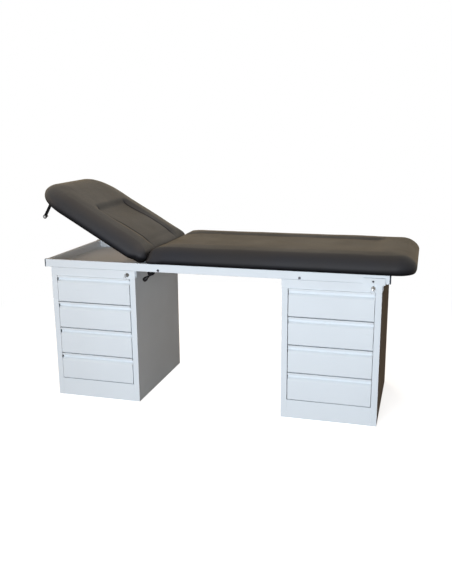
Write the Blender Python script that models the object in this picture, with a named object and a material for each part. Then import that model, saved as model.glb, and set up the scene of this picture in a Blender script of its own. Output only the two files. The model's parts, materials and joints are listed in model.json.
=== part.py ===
"""Examination couch on two drawer cabinets: every piece is one object, in metres, with +Z up."""

import math

import bmesh
import bpy
import numpy as np
from mathutils import Vector

# Cabinets, from the left cabinet's front left bottom corner
CABINET_WIDTH = 0.460
CABINET_DEPTH = 0.620
CABINET_HEIGHT = 0.690
CABINET_PITCH = 1.200
SHEET = 0.0015
SEAM = 0.0003
STILE = 0.029
HEADER = 0.042
PLINTH = 0.093

# Drawers
DRAWERS = 4
DRAWER_GAP = 0.003
FRONT_SIDE_GAP = 0.0015
FRONT_PROUD = 0.012
FRONT_RETURN = 0.026
LIP_HEIGHT = 0.009
GROOVE_HEIGHT = 0.013
SHOULDER_HEIGHT = 0.017
GROOVE_DEPTH = 0.014
BOX_INSET = 0.046
BOX_BACK_GAP = 0.0405
BOX_LIFT = 0.010
BOX_TOP_DROP = 0.024
FLANGE = 0.012
HEADER_FLANGE = 0.012
RUNNER_CLEAR = 0.0003
RUNNER_MOUTH = 0.0045
RUNNER_START = 0.020
RUNNER_BACK_GAP = 0.020

# Frame of tubes
RAIL_HEIGHT = 0.040
RAIL_WIDTH = 0.020
RAIL_WALL = 0.0015
RAIL_OVERHANG = 0.030
CAP_THICK = 0.006
CAP_PLUG = 0.014
CROSS_PAST_LEFT = 0.123
CROSS_PAST_RIGHT = 0.083
LUG_HEIGHT = 0.038
LUG_START = 0.010
LUG_WIDTH = 0.032
LUG_THICK = 0.003
BOLT_HEAD = 0.0065
BOLT_SHANK = 0.003
BOLT_DROP = 0.031
ACCESSORY_FROM_END = 0.087
ACCESSORY_WIDTH = 0.100
ACCESSORY_HEIGHT = 0.031
ACCESSORY_THICK = 0.006
ACCESSORY_HOLE = 0.005

# Pads
PAD_OVERHANG = 0.014
PAD_THICK = 0.082
PAD_END_CORNER = 0.048
PAD_END_EDGE = 0.058
PAD_TOP_EDGE = 0.067
PAD_LOW_EDGE = 0.013
PAD_RIM_DROP = 0.0175
PAD_FAR_ZONE = 0.200
HEAD_CORNER = 0.175
HEAD_EDGE = 0.071
HEAD_DROP = 0.013
FOOT_CORNER = 0.095
FOOT_EDGE = 0.067
FOOT_DROP = 0.009
SEAT_END_LOW_EDGE = 0.021
SEAT_END_DROP = 0.0125
PAD_CROWN = 0.004
RECESS_DEPTH = 0.015
RECESS_HALF = 0.180
RECESS_SLOPE = 0.030
BOARD_THICK = 0.012
BOARD_INSET = 0.030
PAD_LIFT = 0.0006

# Backrest and its hinge
HINGE_PAST_CABINET = 0.022
REST_ANGLE = math.radians(30.4)
PAD_GAP = 0.003
BACKREST_LENGTH = 0.628
BACKREST_RECESS_END = 0.345
SEAT_OVERHANG = 0.146
SEAT_RECESS_SHORT = 0.178
HINGE_INSET = 0.060
EAR_THICK = 0.005
SIDE_PLAY = 0.0004
PIN_RADIUS = 0.005
PIN_PLAY = 0.00006
EAR_WALL = 0.008
ARM_WALL = 0.009
ARM_LENGTH = 0.150
DISC_RADIUS = 0.020
DISC_THICK = 0.004
HINGE_PLATE_BEFORE = 0.095
HINGE_PLATE_PAST = 0.029
HINGE_PLATE_THICK = 0.002
HINGE_PLATE_FLANGE = 0.018
SLOT_SIDE = 0.002

# Release lever and brake
ROCKER = 0.060
LEVER_DROP = 0.092
LEVER_REACH = (-0.042, -0.036)
SHAFT_RADIUS = 0.004
SHOE_WIDTH = 0.020
SHOE_THICK = 0.009
SHOE_GAP = 0.0003
ROD_RADIUS = 0.002
KNOB_RADIUS = 0.0115
KNOB_LENGTH = 0.038
BRACKET_THICK = 0.003

# Paper roll hooks
ROLL_ARM_FROM_END = 0.083
ROLL_ARM_INSET = 0.060
ROLL_ARM_LENGTH = 0.096
ROLL_ARM_WIDTH = 0.015
ROLL_ARM_THICK = 0.004
ROLL_ARM_FOOT = 0.030
ROLL_ROD_RADIUS = 0.006
ROLL_ROD_PROUD = 0.003

# Locks and keys
LOCK_FROM_RIGHT = 0.040
LOCK_RADIUS = 0.0095
LOCK_NECK = 0.008
LOCK_LENGTH = 0.022
LOCK_PROUD = 0.004
PLUG_RADIUS = 0.0055
KEY_THICK = 0.0022
KEY_BOW = 0.0105
KEY_REACH = 0.020
KEY_HOLE = 0.0022
RING_RADIUS = 0.009
RING_WIRE = 0.0009

# Derived sizes
TOTAL_WIDTH = CABINET_PITCH + CABINET_WIDTH
RAIL_TOP = CABINET_HEIGHT + RAIL_HEIGHT
PAD_HALF = PAD_THICK / 2
PAD_BOTTOM = RAIL_TOP + PAD_LIFT
HINGE_Z = PAD_BOTTOM + PAD_HALF
HINGE_X = CABINET_WIDTH + HINGE_PAST_CABINET
HINGE_PLATE_X = HINGE_X - HINGE_PLATE_BEFORE
HINGE_PLATE_END = HINGE_X + HINGE_PLATE_PAST
EAR_ROUND = PIN_RADIUS + EAR_WALL
ARM_ROUND = PIN_RADIUS + ARM_WALL
SEAT_START = HINGE_X + PAD_HALF + PAD_GAP
SEAT_END = TOTAL_WIDTH + SEAT_OVERHANG
SEAT_RECESS_END = SEAT_END - SEAT_RECESS_SHORT
CROSS_NEAR_HEAD = CABINET_WIDTH + CROSS_PAST_LEFT
CROSS_NEAR_FOOT = CABINET_PITCH + CROSS_PAST_RIGHT
ACCESSORY_X = TOTAL_WIDTH - ACCESSORY_FROM_END
DRAWER_PITCH = (CABINET_HEIGHT - HEADER - PLINTH) / DRAWERS
FRONT_HEIGHT = DRAWER_PITCH - DRAWER_GAP
BOX_HEIGHT = FRONT_HEIGHT - BOX_LIFT - BOX_TOP_DROP
MIDDLE_Y = CABINET_DEPTH / 2
PAD_WIDTH = CABINET_DEPTH + 2 * PAD_OVERHANG
LOCK_Z = CABINET_HEIGHT - HEADER / 2
ROLL_ARM_PLACE = BACKREST_LENGTH - ROLL_ARM_FROM_END


# Materials

def material(name, colour, roughness, metallic=0.0):
    """A Principled material with one colour."""
    made = bpy.data.materials.new(name)
    made.use_nodes = True
    shader = made.node_tree.nodes["Principled BSDF"]
    shader.inputs["Base Color"].default_value = (*colour, 1.0)
    shader.inputs["Roughness"].default_value = roughness
    shader.inputs["Metallic"].default_value = metallic
    return made


# Shapes as lists of points and faces

def loft(rings):
    """A closed body through rings of the same count of points, capped at both ends."""
    count = len(rings[0])
    points = [tuple(point) for ring in rings for point in ring]
    faces = [tuple(range(count - 1, -1, -1))]
    for row in range(len(rings) - 1):
        low = row * count
        for i in range(count):
            j = (i + 1) % count
            faces.append((low + i, low + j, low + count + j, low + count + i))
    last = (len(rings) - 1) * count
    faces.append(tuple(range(last, last + count)))
    return points, faces


def placed(axis, u, v, along):
    """A point from two flat coordinates and a place along an axis."""
    if axis == "x":
        return (along, u, v)
    if axis == "y":
        return (u, along, v)
    return (u, v, along)


def prism(outline, axis, start, end):
    """A flat outline pushed along an axis: (y, z) along x, (x, z) along y, (x, y) along z."""
    return loft([[placed(axis, u, v, a) for u, v in outline] for a in (start, end)])


def box(x0, x1, y0, y1, z0, z1):
    """A rectangular block."""
    return prism([(x0, y0), (x1, y0), (x1, y1), (x0, y1)], "z", z0, z1)


def circle(u, v, radius, count):
    """Points of a circle, counterclockwise."""
    steps = [2 * math.pi * i / count for i in range(count)]
    return [(u + radius * math.cos(a), v + radius * math.sin(a)) for a in steps]


def turned(axis, u, v, profile, count=24):
    """A round body about an axis: profile holds (place along the axis, radius)."""
    rings = []
    for along, radius in profile:
        rings.append([placed(axis, a, b, along) for a, b in circle(u, v, radius, count)])
    return loft(rings)


def rounded(u0, u1, v0, v1, radius, steps=2):
    """A rectangle's outline with rounded corners."""
    points = []
    corners = ((u1, v1, 0), (u0, v1, 1), (u0, v0, 2), (u1, v0, 3))
    for u, v, quarter in corners:
        cu = u - radius if u == u1 else u + radius
        cv = v - radius if v == v1 else v + radius
        for i in range(steps + 1):
            a = (quarter + i / steps) * math.pi / 2
            points.append((cu + radius * math.cos(a), cv + radius * math.sin(a)))
    return points


def tube(axis, u0, u1, v0, v1, start, end, wall=RAIL_WALL, radius=0.002):
    """A rectangular tube, open at both ends."""
    outer = rounded(u0, u1, v0, v1, radius)
    inner = rounded(u0 + wall, u1 - wall, v0 + wall, v1 - wall, max(radius - wall / 2, 0.0003))
    count = len(outer)
    points = []
    for along in (start, end):
        points += [placed(axis, u, v, along) for u, v in outer + inner]
    faces = []
    for i in range(count):
        j = (i + 1) % count
        far = 2 * count
        faces.append((i, j, far + j, far + i))
        faces.append((count + j, count + i, far + count + i, far + count + j))
        faces.append((i, count + i, count + j, j))
        faces.append((far + j, far + count + j, far + count + i, far + i))
    return points, faces


def folded(line, thick):
    """The outline of a sheet folded along a line of points, with its thickness on the line's left."""
    line = [Vector(point) for point in line]
    inner = []
    for i, point in enumerate(line):
        normals = []
        for a, b in ((i - 1, i), (i, i + 1)):
            if a < 0 or b >= len(line):
                continue
            step = (line[b] - line[a]).normalized()
            normals.append(Vector((-step.y, step.x)))
        mean = sum(normals, Vector((0, 0))).normalized()
        inner.append(point + mean * (thick / mean.dot(normals[0])))
    return [tuple(p) for p in line] + [tuple(p) for p in reversed(inner)]


def moved(shape, dx=0.0, dy=0.0, dz=0.0):
    """The same shape at another place."""
    points, faces = shape
    return [(x + dx, y + dy, z + dz) for x, y, z in points], faces


def several(shapes):
    """Separate closed bodies in one list of points and faces."""
    points, faces = [], []
    for shape_points, shape_faces in shapes:
        base = len(points)
        points += list(shape_points)
        faces += [tuple(base + i for i in face) for face in shape_faces]
    return points, faces


# Objects

def add(name, shape, finish, parent, at=(0.0, 0.0, 0.0)):
    """One object from a shape. Its own origin goes to the place given, in its parent's axes."""
    points, faces = shape
    shifted = [tuple(p[k] - at[k] for k in range(3)) for p in points]
    mesh = bpy.data.meshes.new(name)
    mesh.from_pydata(shifted, [], faces)
    work = bmesh.new()
    work.from_mesh(mesh)
    bmesh.ops.recalc_face_normals(work, faces=work.faces)
    work.to_mesh(mesh)
    work.free()
    mesh.shade_smooth()
    mesh.set_sharp_from_angle(angle=math.radians(35.0))
    obj = bpy.data.objects.new(name, mesh)
    bpy.context.scene.collection.objects.link(obj)
    obj.location = at
    obj.parent = parent
    if finish is not None:
        mesh.materials.append(finish)
    return obj


def cut(obj, shape, operation="DIFFERENCE"):
    """An exact Boolean with a hidden helper in the same axes as the object."""
    helper = add(obj.name + "_helper", shape, None, obj.parent)
    helper.hide_render = True
    helper.display_type = "WIRE"
    step = obj.modifiers.new(operation.lower(), "BOOLEAN")
    step.operation = operation
    step.solver = "EXACT"
    step.object = helper
    return obj


def joint(name, parent, at, turn=0.0):
    """An empty on a joint's axis. The turn is about +Y."""
    empty = bpy.data.objects.new(name, None)
    bpy.context.scene.collection.objects.link(empty)
    empty.location = at
    empty.rotation_euler = (0.0, turn, 0.0)
    empty.parent = parent
    return empty


# Cabinets

def runners_of(left):
    """Eight folded channels, welded inside a cabinet's sides, that carry the drawers' flanges."""
    runners = []
    for level in range(DRAWERS):
        flange_low = PLINTH + level * DRAWER_PITCH + DRAWER_GAP / 2 + BOX_LIFT + BOX_HEIGHT
        low = flange_low - RUNNER_CLEAR
        high = low + RUNNER_MOUTH
        mouth = BOX_INSET - 0.003
        wall = SHEET / 2
        line = [(mouth, low - SHEET), (wall, low - SHEET), (wall, high + SHEET), (mouth, high + SHEET)]
        for mirrored in (False, True):
            if mirrored:
                line = [(CABINET_WIDTH - u, v) for u, v in line]
            outline = folded([(left + u, v) for u, v in line], SHEET if mirrored else -SHEET)
            runners.append(prism(outline, "y", RUNNER_START, CABINET_DEPTH - RUNNER_BACK_GAP))
    return runners


def build_cabinet(side, left, root, finishes):
    """The fixed sheet metal of one cabinet, with the runners inside its wrapper."""
    right = left + CABINET_WIDTH
    top = CABINET_HEIGHT
    line = [(left + STILE, 0), (left, 0), (left, CABINET_DEPTH), (right, CABINET_DEPTH)]
    line += [(right, 0), (right - STILE, 0)]
    wrapper = prism(folded(line, -SHEET), "z", 0.0, top - SHEET - SEAM)
    piece = add(f"{side}_cabinet_wrapper", wrapper, finishes["white"], root)
    notch = box(left - 0.01, right + 0.01, -0.01, SHEET + SEAM, top - HEADER - SEAM, top + 0.01)
    cut(piece, notch)
    cut(piece, several(runners_of(left)), "UNION")

    line = [(CABINET_DEPTH, top), (0, top), (0, top - HEADER)]
    lid = prism(folded(line, SHEET), "x", left, right)
    piece = add(f"{side}_cabinet_top", lid, finishes["white"], root)
    low = top - HEADER + SHEET / 4
    inside = SHEET + 2 * SEAM
    cut(piece, box(left + inside, right - inside, SHEET / 2, HEADER_FLANGE, low, low + SHEET), "UNION")
    lock_x = right - LOCK_FROM_RIGHT
    cut(piece, turned("y", lock_x, LOCK_Z, [(-0.01, LOCK_NECK + SEAM), (0.01, LOCK_NECK + SEAM)]))

    rear = CABINET_DEPTH - SHEET - SEAM
    line = [(0, 0), (0, PLINTH - SEAM), (rear, PLINTH - SEAM), (rear, PLINTH / 2)]
    base = prism(folded(line, -SHEET), "x", left + STILE + SEAM, right - STILE - SEAM)
    add(f"{side}_cabinet_base", base, finishes["white"], root)

def front_outline():
    """The folded section of a drawer front, (y, z), from its lower edge."""
    height = FRONT_HEIGHT
    face = -FRONT_PROUD
    inner = FRONT_RETURN - FRONT_PROUD
    groove = face + GROOVE_DEPTH
    lip = height - LIP_HEIGHT
    floor = lip - GROOVE_HEIGHT
    shoulder = floor - SHOULDER_HEIGHT
    return [
        (inner, 0.0),
        (face, 0.0),
        (face, shoulder),
        (face + 0.10 * GROOVE_DEPTH, shoulder + 0.30 * SHOULDER_HEIGHT),
        (face + 0.36 * GROOVE_DEPTH, shoulder + 0.62 * SHOULDER_HEIGHT),
        (groove, floor),
        (groove, lip - 0.003),
        (face, lip),
        (face, height),
        (inner, height),
    ]


def build_drawers(side, left, root, finishes):
    """Four drawers of one cabinet, each a front and a box on a slide of its own."""
    low_x = left + STILE + FRONT_SIDE_GAP
    high_x = left + CABINET_WIDTH - STILE - FRONT_SIDE_GAP
    inner = FRONT_RETURN - FRONT_PROUD
    section = front_outline()
    shoulder = section[2][1]
    for level in range(DRAWERS):
        number = DRAWERS - level
        name = f"{side}_drawer_{number}"
        bottom = PLINTH + level * DRAWER_PITCH + DRAWER_GAP / 2
        slide = joint(f"{name}_slide", root, (left + CABINET_WIDTH / 2, 0.0, bottom))
        shift = slide.location
        sheet = [(y, z + bottom) for y, z in folded(section, -SHEET)]
        front = moved(prism(sheet, "x", low_x, high_x), *(-shift))
        piece = add(f"{name}_front", front, finishes["white"], slide)
        ends = []
        for x in (low_x + 0.0002, high_x - 0.0002 - SHEET):
            y0 = -FRONT_PROUD + SHEET / 2
            ends.append(box(x, x + SHEET, y0, inner, bottom + SHEET / 2, bottom + shoulder - 0.001))
        cut(piece, moved(several(ends), *(-shift)), "UNION")

        box_low = bottom + BOX_LIFT
        box_high = box_low + BOX_HEIGHT
        x0 = left + BOX_INSET
        x1 = left + CABINET_WIDTH - BOX_INSET
        line = [(x0 - FLANGE, box_high), (x0, box_high), (x0, box_low), (x1, box_low)]
        line += [(x1, box_high), (x1 + FLANGE, box_high)]
        start = inner + SEAM
        back = CABINET_DEPTH - BOX_BACK_GAP
        tray = moved(prism(folded(line, SHEET), "y", start + SHEET / 2, back), *(-shift))
        piece = add(f"{name}_box", tray, finishes["zinc"], slide)
        trim = SEAM
        low_z = box_low + SHEET / 2
        walls = [
            box(low_x + trim, high_x - trim, start, start + SHEET, bottom + trim, bottom + FRONT_HEIGHT - trim),
            box(x0 + SHEET / 2, x1 - SHEET / 2, back - 2 * SHEET, back - SHEET, low_z, box_high - 0.004),
        ]
        cut(piece, moved(several(walls), *(-shift)), "UNION")


# Locks and keys

def key_outline():
    """A flat key, (y, z): its blade points along +Y from the plug's face, its bow along -Y."""
    bow_y = -LOCK_PROUD - KEY_REACH
    points = [(bow_y + u, v) for u, v in circle(0.0, 0.0, KEY_BOW, 16)]
    kept = [p for p in points if not (p[0] > bow_y + 0.5 * KEY_BOW and abs(p[1]) < 0.0045)]
    kept.sort(key=lambda p: math.atan2(p[1], p[0] - bow_y) % (2 * math.pi))
    blade = [(-LOCK_PROUD + 0.006, -0.0035), (-LOCK_PROUD + 0.006, 0.0035)]
    neck = [(bow_y + KEY_BOW + 0.004, 0.0042), (bow_y + KEY_BOW + 0.0045, 0.0035)]
    low_neck = [(u, -v) for u, v in neck]
    return kept + low_neck + blade + list(reversed(neck))


def build_lock(side, left, root, finishes):
    """A cabinet's lock: barrel, turning plug with cam, key and key ring."""
    x = left + CABINET_WIDTH - LOCK_FROM_RIGHT
    face = -LOCK_PROUD
    barrel = turned("y", x, LOCK_Z, [
        (face, LOCK_RADIUS - 0.001),
        (face + 0.001, LOCK_RADIUS),
        (-SEAM, LOCK_RADIUS),
        (-SEAM, LOCK_NECK),
        (LOCK_LENGTH, LOCK_NECK),
    ])
    piece = add(f"{side}_lock_barrel", barrel, finishes["chrome"], root)
    cut(piece, turned("y", x, LOCK_Z, [(-0.05, PLUG_RADIUS + PIN_PLAY), (0.05, PLUG_RADIUS + PIN_PLAY)]))

    turn = joint(f"{side}_lock_turn", root, (x, 0.0, LOCK_Z))
    back = LOCK_LENGTH + 0.0006
    plug = turned("y", 0.0, 0.0, [(face + 0.0004, PLUG_RADIUS), (back + 0.004, PLUG_RADIUS)])
    piece = add(f"{side}_lock_plug", plug, finishes["steel"], turn)
    cam = prism([(-0.005, -0.022), (0.005, -0.022), (0.005, 0.004), (-0.005, 0.004)], "y", back, back + 0.0025)
    cut(piece, cam, "UNION")
    slit = KEY_THICK / 2 + 0.0002
    cut(piece, box(-slit, slit, face - 0.01, face + 0.0068, -0.0038, 0.0038))

    key = add(f"{side}_key", prism(key_outline(), "x", -KEY_THICK / 2, KEY_THICK / 2), finishes["steel"], turn)
    hole_y = face - KEY_REACH - 0.6 * KEY_BOW
    cut(key, turned("x", hole_y, 0.0, [(-0.01, KEY_HOLE), (0.01, KEY_HOLE)], 12))

    ring_z = RING_WIRE + SEAM - KEY_HOLE - RING_RADIUS
    points, faces = [], []
    around, section = 20, 6
    for i in range(around):
        a = 2 * math.pi * i / around
        for j in range(section):
            b = 2 * math.pi * j / section
            r = RING_RADIUS + RING_WIRE * math.cos(b)
            points.append((r * math.cos(a), hole_y + RING_WIRE * math.sin(b), ring_z + r * math.sin(a)))
    for i in range(around):
        for j in range(section):
            i2 = (i + 1) % around
            j2 = (j + 1) % section
            faces.append((i * section + j, i * section + j2, i2 * section + j2, i2 * section + j))
    add(f"{side}_key_ring", (points, faces), finishes["steel"], turn)


# Frame

def lugs_of(y, low):
    """Four tabs under a rail that hold it beside both cabinets' sides."""
    lugs = []
    for left in (0.0, CABINET_PITCH):
        for x in (left - SEAM - LUG_THICK, left + CABINET_WIDTH + SEAM):
            high = low + RAIL_WALL / 2
            tip = low - LUG_HEIGHT
            outline = [(y, high), (y, tip + 0.006), (y + 0.006, tip), (y + LUG_WIDTH - 0.006, tip)]
            outline += [(y + LUG_WIDTH, tip + 0.006), (y + LUG_WIDTH, high)]
            lugs.append(prism(outline, "x", x, x + LUG_THICK))
    return lugs


def accessory_hole():
    """The accessory socket's middle, (x, z)."""
    return ACCESSORY_X + ACCESSORY_WIDTH * 0.46, CABINET_HEIGHT + SEAM + ACCESSORY_HEIGHT / 2 - 0.004


def build_frame(root, finishes):
    """Rails, caps, lugs, bolts and the accessory plate."""
    low, high = CABINET_HEIGHT + SEAM, RAIL_TOP
    start, end = -RAIL_OVERHANG, TOTAL_WIDTH + RAIL_OVERHANG
    depth = CABINET_DEPTH
    bolt_z = high - BOLT_DROP
    bolt_x = (CROSS_NEAR_HEAD, CROSS_NEAR_FOOT)
    for name, y0 in (("front_rail", 0.0), ("rear_rail", depth - RAIL_WIDTH)):
        rail = add(name, tube("x", y0, y0 + RAIL_WIDTH, low, high, start, end), finishes["white"], root)
        lug_y = LUG_START if y0 < MIDDLE_Y else depth - LUG_START - LUG_WIDTH
        cut(rail, several(lugs_of(lug_y, low)), "UNION")
        bore = BOLT_SHANK + SEAM
        span = (y0 - 0.005, y0 + RAIL_WIDTH + 0.005)
        cut(rail, several([turned("y", x, bolt_z, [(y, bore) for y in span], 12) for x in bolt_x]))
        if y0 < MIDDLE_Y:
            hole_x, hole_z = accessory_hole()
            cut(rail, turned("y", hole_x, hole_z, [(-0.05, ACCESSORY_HOLE), (RAIL_WIDTH / 2, ACCESSORY_HOLE)], 16))

    y0, y1 = RAIL_WIDTH + SEAM, depth - RAIL_WIDTH - SEAM
    places = (
        ("head_rail", start),
        ("cross_rail_head", CROSS_NEAR_HEAD - RAIL_WIDTH / 2),
        ("cross_rail_foot", CROSS_NEAR_FOOT - RAIL_WIDTH / 2),
        ("foot_rail", end - RAIL_WIDTH),
    )
    for name, x in places:
        add(name, tube("y", x, x + RAIL_WIDTH, low, high, y0, y1), finishes["white"], root)

    for rail, y in (("front", 0.0), ("rear", depth - RAIL_WIDTH)):
        for place, x, way in (("head", start - SEAM, -1), ("foot", end + SEAM, 1)):
            outer = rounded(y, y + RAIL_WIDTH, low, high, 0.002)
            slim = RAIL_WALL + SEAM
            inner = rounded(y + slim, y + RAIL_WIDTH - slim, low + slim, high - slim, 0.0015)
            edge = rounded(y + 0.001, y + RAIL_WIDTH - 0.001, low + 0.001, high - 0.001, 0.002)
            rings = [(inner, x - way * CAP_PLUG), (inner, x), (outer, x)]
            rings += [(outer, x + way * (CAP_THICK - 0.001)), (edge, x + way * CAP_THICK)]
            cap = loft([[(along, u, v) for u, v in ring] for ring, along in rings])
            add(f"{rail}_rail_cap_{place}", cap, finishes["grey_plastic"], root)

    for place, x in zip(("head", "foot"), bolt_x):
        head = [(-0.0042, BOLT_HEAD * 0.62), (-0.0030, BOLT_HEAD * 0.92), (-0.0012, BOLT_HEAD)]
        head += [(-SEAM, BOLT_HEAD), (-SEAM, BOLT_SHANK)]
        profile = head + [(depth - y, radius) for y, radius in reversed(head)]
        add(f"tie_bolt_{place}", turned("y", x, bolt_z, profile, 14), finishes["steel"], root)

    z1 = low + ACCESSORY_HEIGHT - 0.004
    z0 = z1 - ACCESSORY_HEIGHT
    back = -SEAM
    plate_face = rounded(ACCESSORY_X, ACCESSORY_X + ACCESSORY_WIDTH, z0, z1, 0.003)
    plate = add("accessory_plate", prism(plate_face, "y", back - ACCESSORY_THICK, back), finishes["white"], root)
    hole_x, hole_z = accessory_hole()
    cut(plate, turned("y", hole_x, hole_z, [(-0.05, ACCESSORY_HOLE), (0.05, ACCESSORY_HOLE)], 16))


# Pads

def edge_distance(u, v, half, end, start_radius, end_radius):
    """How far a point lies inside a rounded rectangle from u = 0 to u = end, with half its width across."""
    radius = np.where(u < end / 2, start_radius, end_radius)
    du = np.abs(u - end / 2) - (end / 2 - radius)
    dv = np.abs(v) - (half - radius)
    outside = np.hypot(np.maximum(du, 0.0), np.maximum(dv, 0.0))
    return radius - outside - np.minimum(np.maximum(du, dv), 0.0)


def smooth(value):
    """A soft step from 0 to 1."""
    value = np.clip(value, 0.0, 1.0)
    return value * value * (3.0 - 2.0 * value)


def round_edge(distance, reach):
    """An edge's rise from 0 at the outline to 1 at its reach inside, as a quarter round."""
    inside = np.clip(distance / reach, 0.0, 1.0)
    return np.sqrt(np.clip(1.0 - (1.0 - inside) ** 2, 0.0, 1.0))


def stations(length, near, far, count):
    """Places along a length, closer together towards both ends."""
    rim = [0.0, 0.03, 0.1, 0.22, 0.4, 0.65, 1.0]
    low = [near * r for r in rim]
    high = [length - far * r for r in reversed(rim)]
    middle = np.linspace(near, length - far, count + 2)[1:-1]
    return np.array(low + list(middle) + high)


def pad_shape(length, recess_end, flip, near, far):
    """An upholstered pad from its hinge end, with a rounded edge, a crown and a recessed centre panel.

    The hinge end has a low edge and a rim drop of its own, in near, and the far end a corner, a top edge and a
    rim drop, in far. A low edge and a drop that make a half round let the pad turn beside the other one.
    """
    end_low_edge, end_drop = near
    corner, edge, drop = far
    half = PAD_WIDTH / 2
    us = stations(length, PAD_END_EDGE, corner, 8)
    across = stations(2.0, 0.22, 0.22, 6) - 1.0
    recess_marks = (recess_end - RECESS_SLOPE, recess_end, recess_end + RECESS_SLOPE)
    us = np.array(sorted(list(us) + list(recess_marks)))
    marks = np.array([RECESS_HALF - RECESS_SLOPE / 2, RECESS_HALF + RECESS_SLOPE / 2]) / half
    across = np.array(sorted(list(across) + list(marks) + list(-marks)))
    radius = np.where(us < length / 2, PAD_END_CORNER, corner)
    from_end = np.minimum(us, length - us)
    bite = np.clip(radius - from_end, 0.0, None)
    wide = half - radius + np.sqrt(np.clip(radius**2 - bite**2, 0.0, None))
    u = np.repeat(us[:, None], len(across), 1)
    v = wide[:, None] * across[None, :]
    distance = np.clip(edge_distance(u, v, half, length, PAD_END_CORNER, corner), 0.0, None)
    rim = np.zeros_like(u, bool)
    rim[0, :] = rim[-1, :] = True
    rim[:, 0] = rim[:, -1] = True
    distance[rim] = 0.0

    near_hinge = 1.0 - smooth((u - PAD_HALF) / 0.05)
    near_far = smooth((u - length + PAD_FAR_ZONE) / PAD_FAR_ZONE)
    top_reach = PAD_TOP_EDGE + (edge - PAD_TOP_EDGE) * near_far
    top_reach = top_reach + (PAD_END_EDGE - top_reach) * near_hinge
    low_reach = PAD_LOW_EDGE + (end_low_edge - PAD_LOW_EDGE) * near_hinge
    middle = -PAD_RIM_DROP - (drop - PAD_RIM_DROP) * near_far
    middle = middle - (middle + end_drop) * near_hinge
    crown = PAD_CROWN * smooth(distance / 0.12) * (1.0 - near_hinge)
    in_width = 1.0 - smooth((np.abs(v) - RECESS_HALF + RECESS_SLOPE / 2) / RECESS_SLOPE)
    in_length = 1.0 - smooth((u - recess_end + RECESS_SLOPE) / (2 * RECESS_SLOPE))
    recess = RECESS_DEPTH * in_width * in_length * smooth(u / (2 * PAD_HALF))
    top = middle + (PAD_HALF + crown - recess - middle) * round_edge(distance, top_reach)
    low = middle - (PAD_HALF + middle) * round_edge(distance, low_reach)

    rows, columns = u.shape
    points = []
    number = {}
    for z, layer in ((top, 0), (low, 1)):
        for i in range(rows):
            for j in range(columns):
                if layer and rim[i, j]:
                    number[1, i, j] = number[0, i, j]
                    continue
                number[layer, i, j] = len(points)
                points.append((flip * u[i, j], v[i, j], z[i, j]))
    faces = []
    for layer in (0, 1):
        for i in range(rows - 1):
            for j in range(columns - 1):
                corners = [(i, j), (i, j + 1), (i + 1, j + 1), (i + 1, j)]
                face = tuple(number[layer, a, b] for a, b in corners)
                face = face if layer else face[::-1]
                faces += [face[:3], (face[0], face[2], face[3])]
    return points, faces


def board_outline(length, start, inset, flip, corner):
    """The plywood board's outline in the pad's axes, (x, y)."""
    half = PAD_WIDTH / 2 - inset
    end = length - inset
    radius = corner - inset
    points = [(start, -half)]
    for i in range(7):
        a = -math.pi / 2 + i * math.pi / 12
        points.append((end - radius + radius * math.cos(a), -half + radius + radius * math.sin(a)))
    points += [(u, -v) for u, v in reversed(points)]
    return [(flip * u, v) for u, v in points]


def hinge_lanes():
    """Each hinge's ear, arm and outer faces across the couch: (ear start, arm start, inward sign)."""
    front = HINGE_INSET
    rear = CABINET_DEPTH - HINGE_INSET
    return ((front, front + EAR_THICK + SIDE_PLAY, 1), (rear, rear - EAR_THICK - SIDE_PLAY, -1))


def lane(start, thick, way):
    """Low and high Y of a plate that starts at a face and goes inward."""
    return tuple(sorted((start, start + way * thick)))


def build_seat(root, finishes):
    """The long fixed pad and its board."""
    length = SEAT_END - SEAT_START
    centre = (SEAT_START, MIDDLE_Y, HINGE_Z)
    place = joint("seat_place", root, centre)
    near = (SEAT_END_LOW_EDGE, SEAT_END_DROP)
    shape = pad_shape(length, SEAT_RECESS_END - SEAT_START, 1, near, (FOOT_CORNER, FOOT_EDGE, FOOT_DROP))
    pad = add("seat_pad", shape, finishes["vinyl"], place)
    outline = board_outline(length, BOARD_INSET + 0.012, BOARD_INSET, 1, FOOT_CORNER)
    cut(pad, prism(outline, "z", -PAD_HALF - 0.02, -PAD_HALF + BOARD_THICK))
    outline = board_outline(length, BOARD_INSET + 0.012 + SEAM, BOARD_INSET + SEAM, 1, FOOT_CORNER)
    board = prism(outline, "z", -PAD_HALF, -PAD_HALF + BOARD_THICK - SEAM)
    add("seat_board", board, finishes["plywood"], place)


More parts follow.
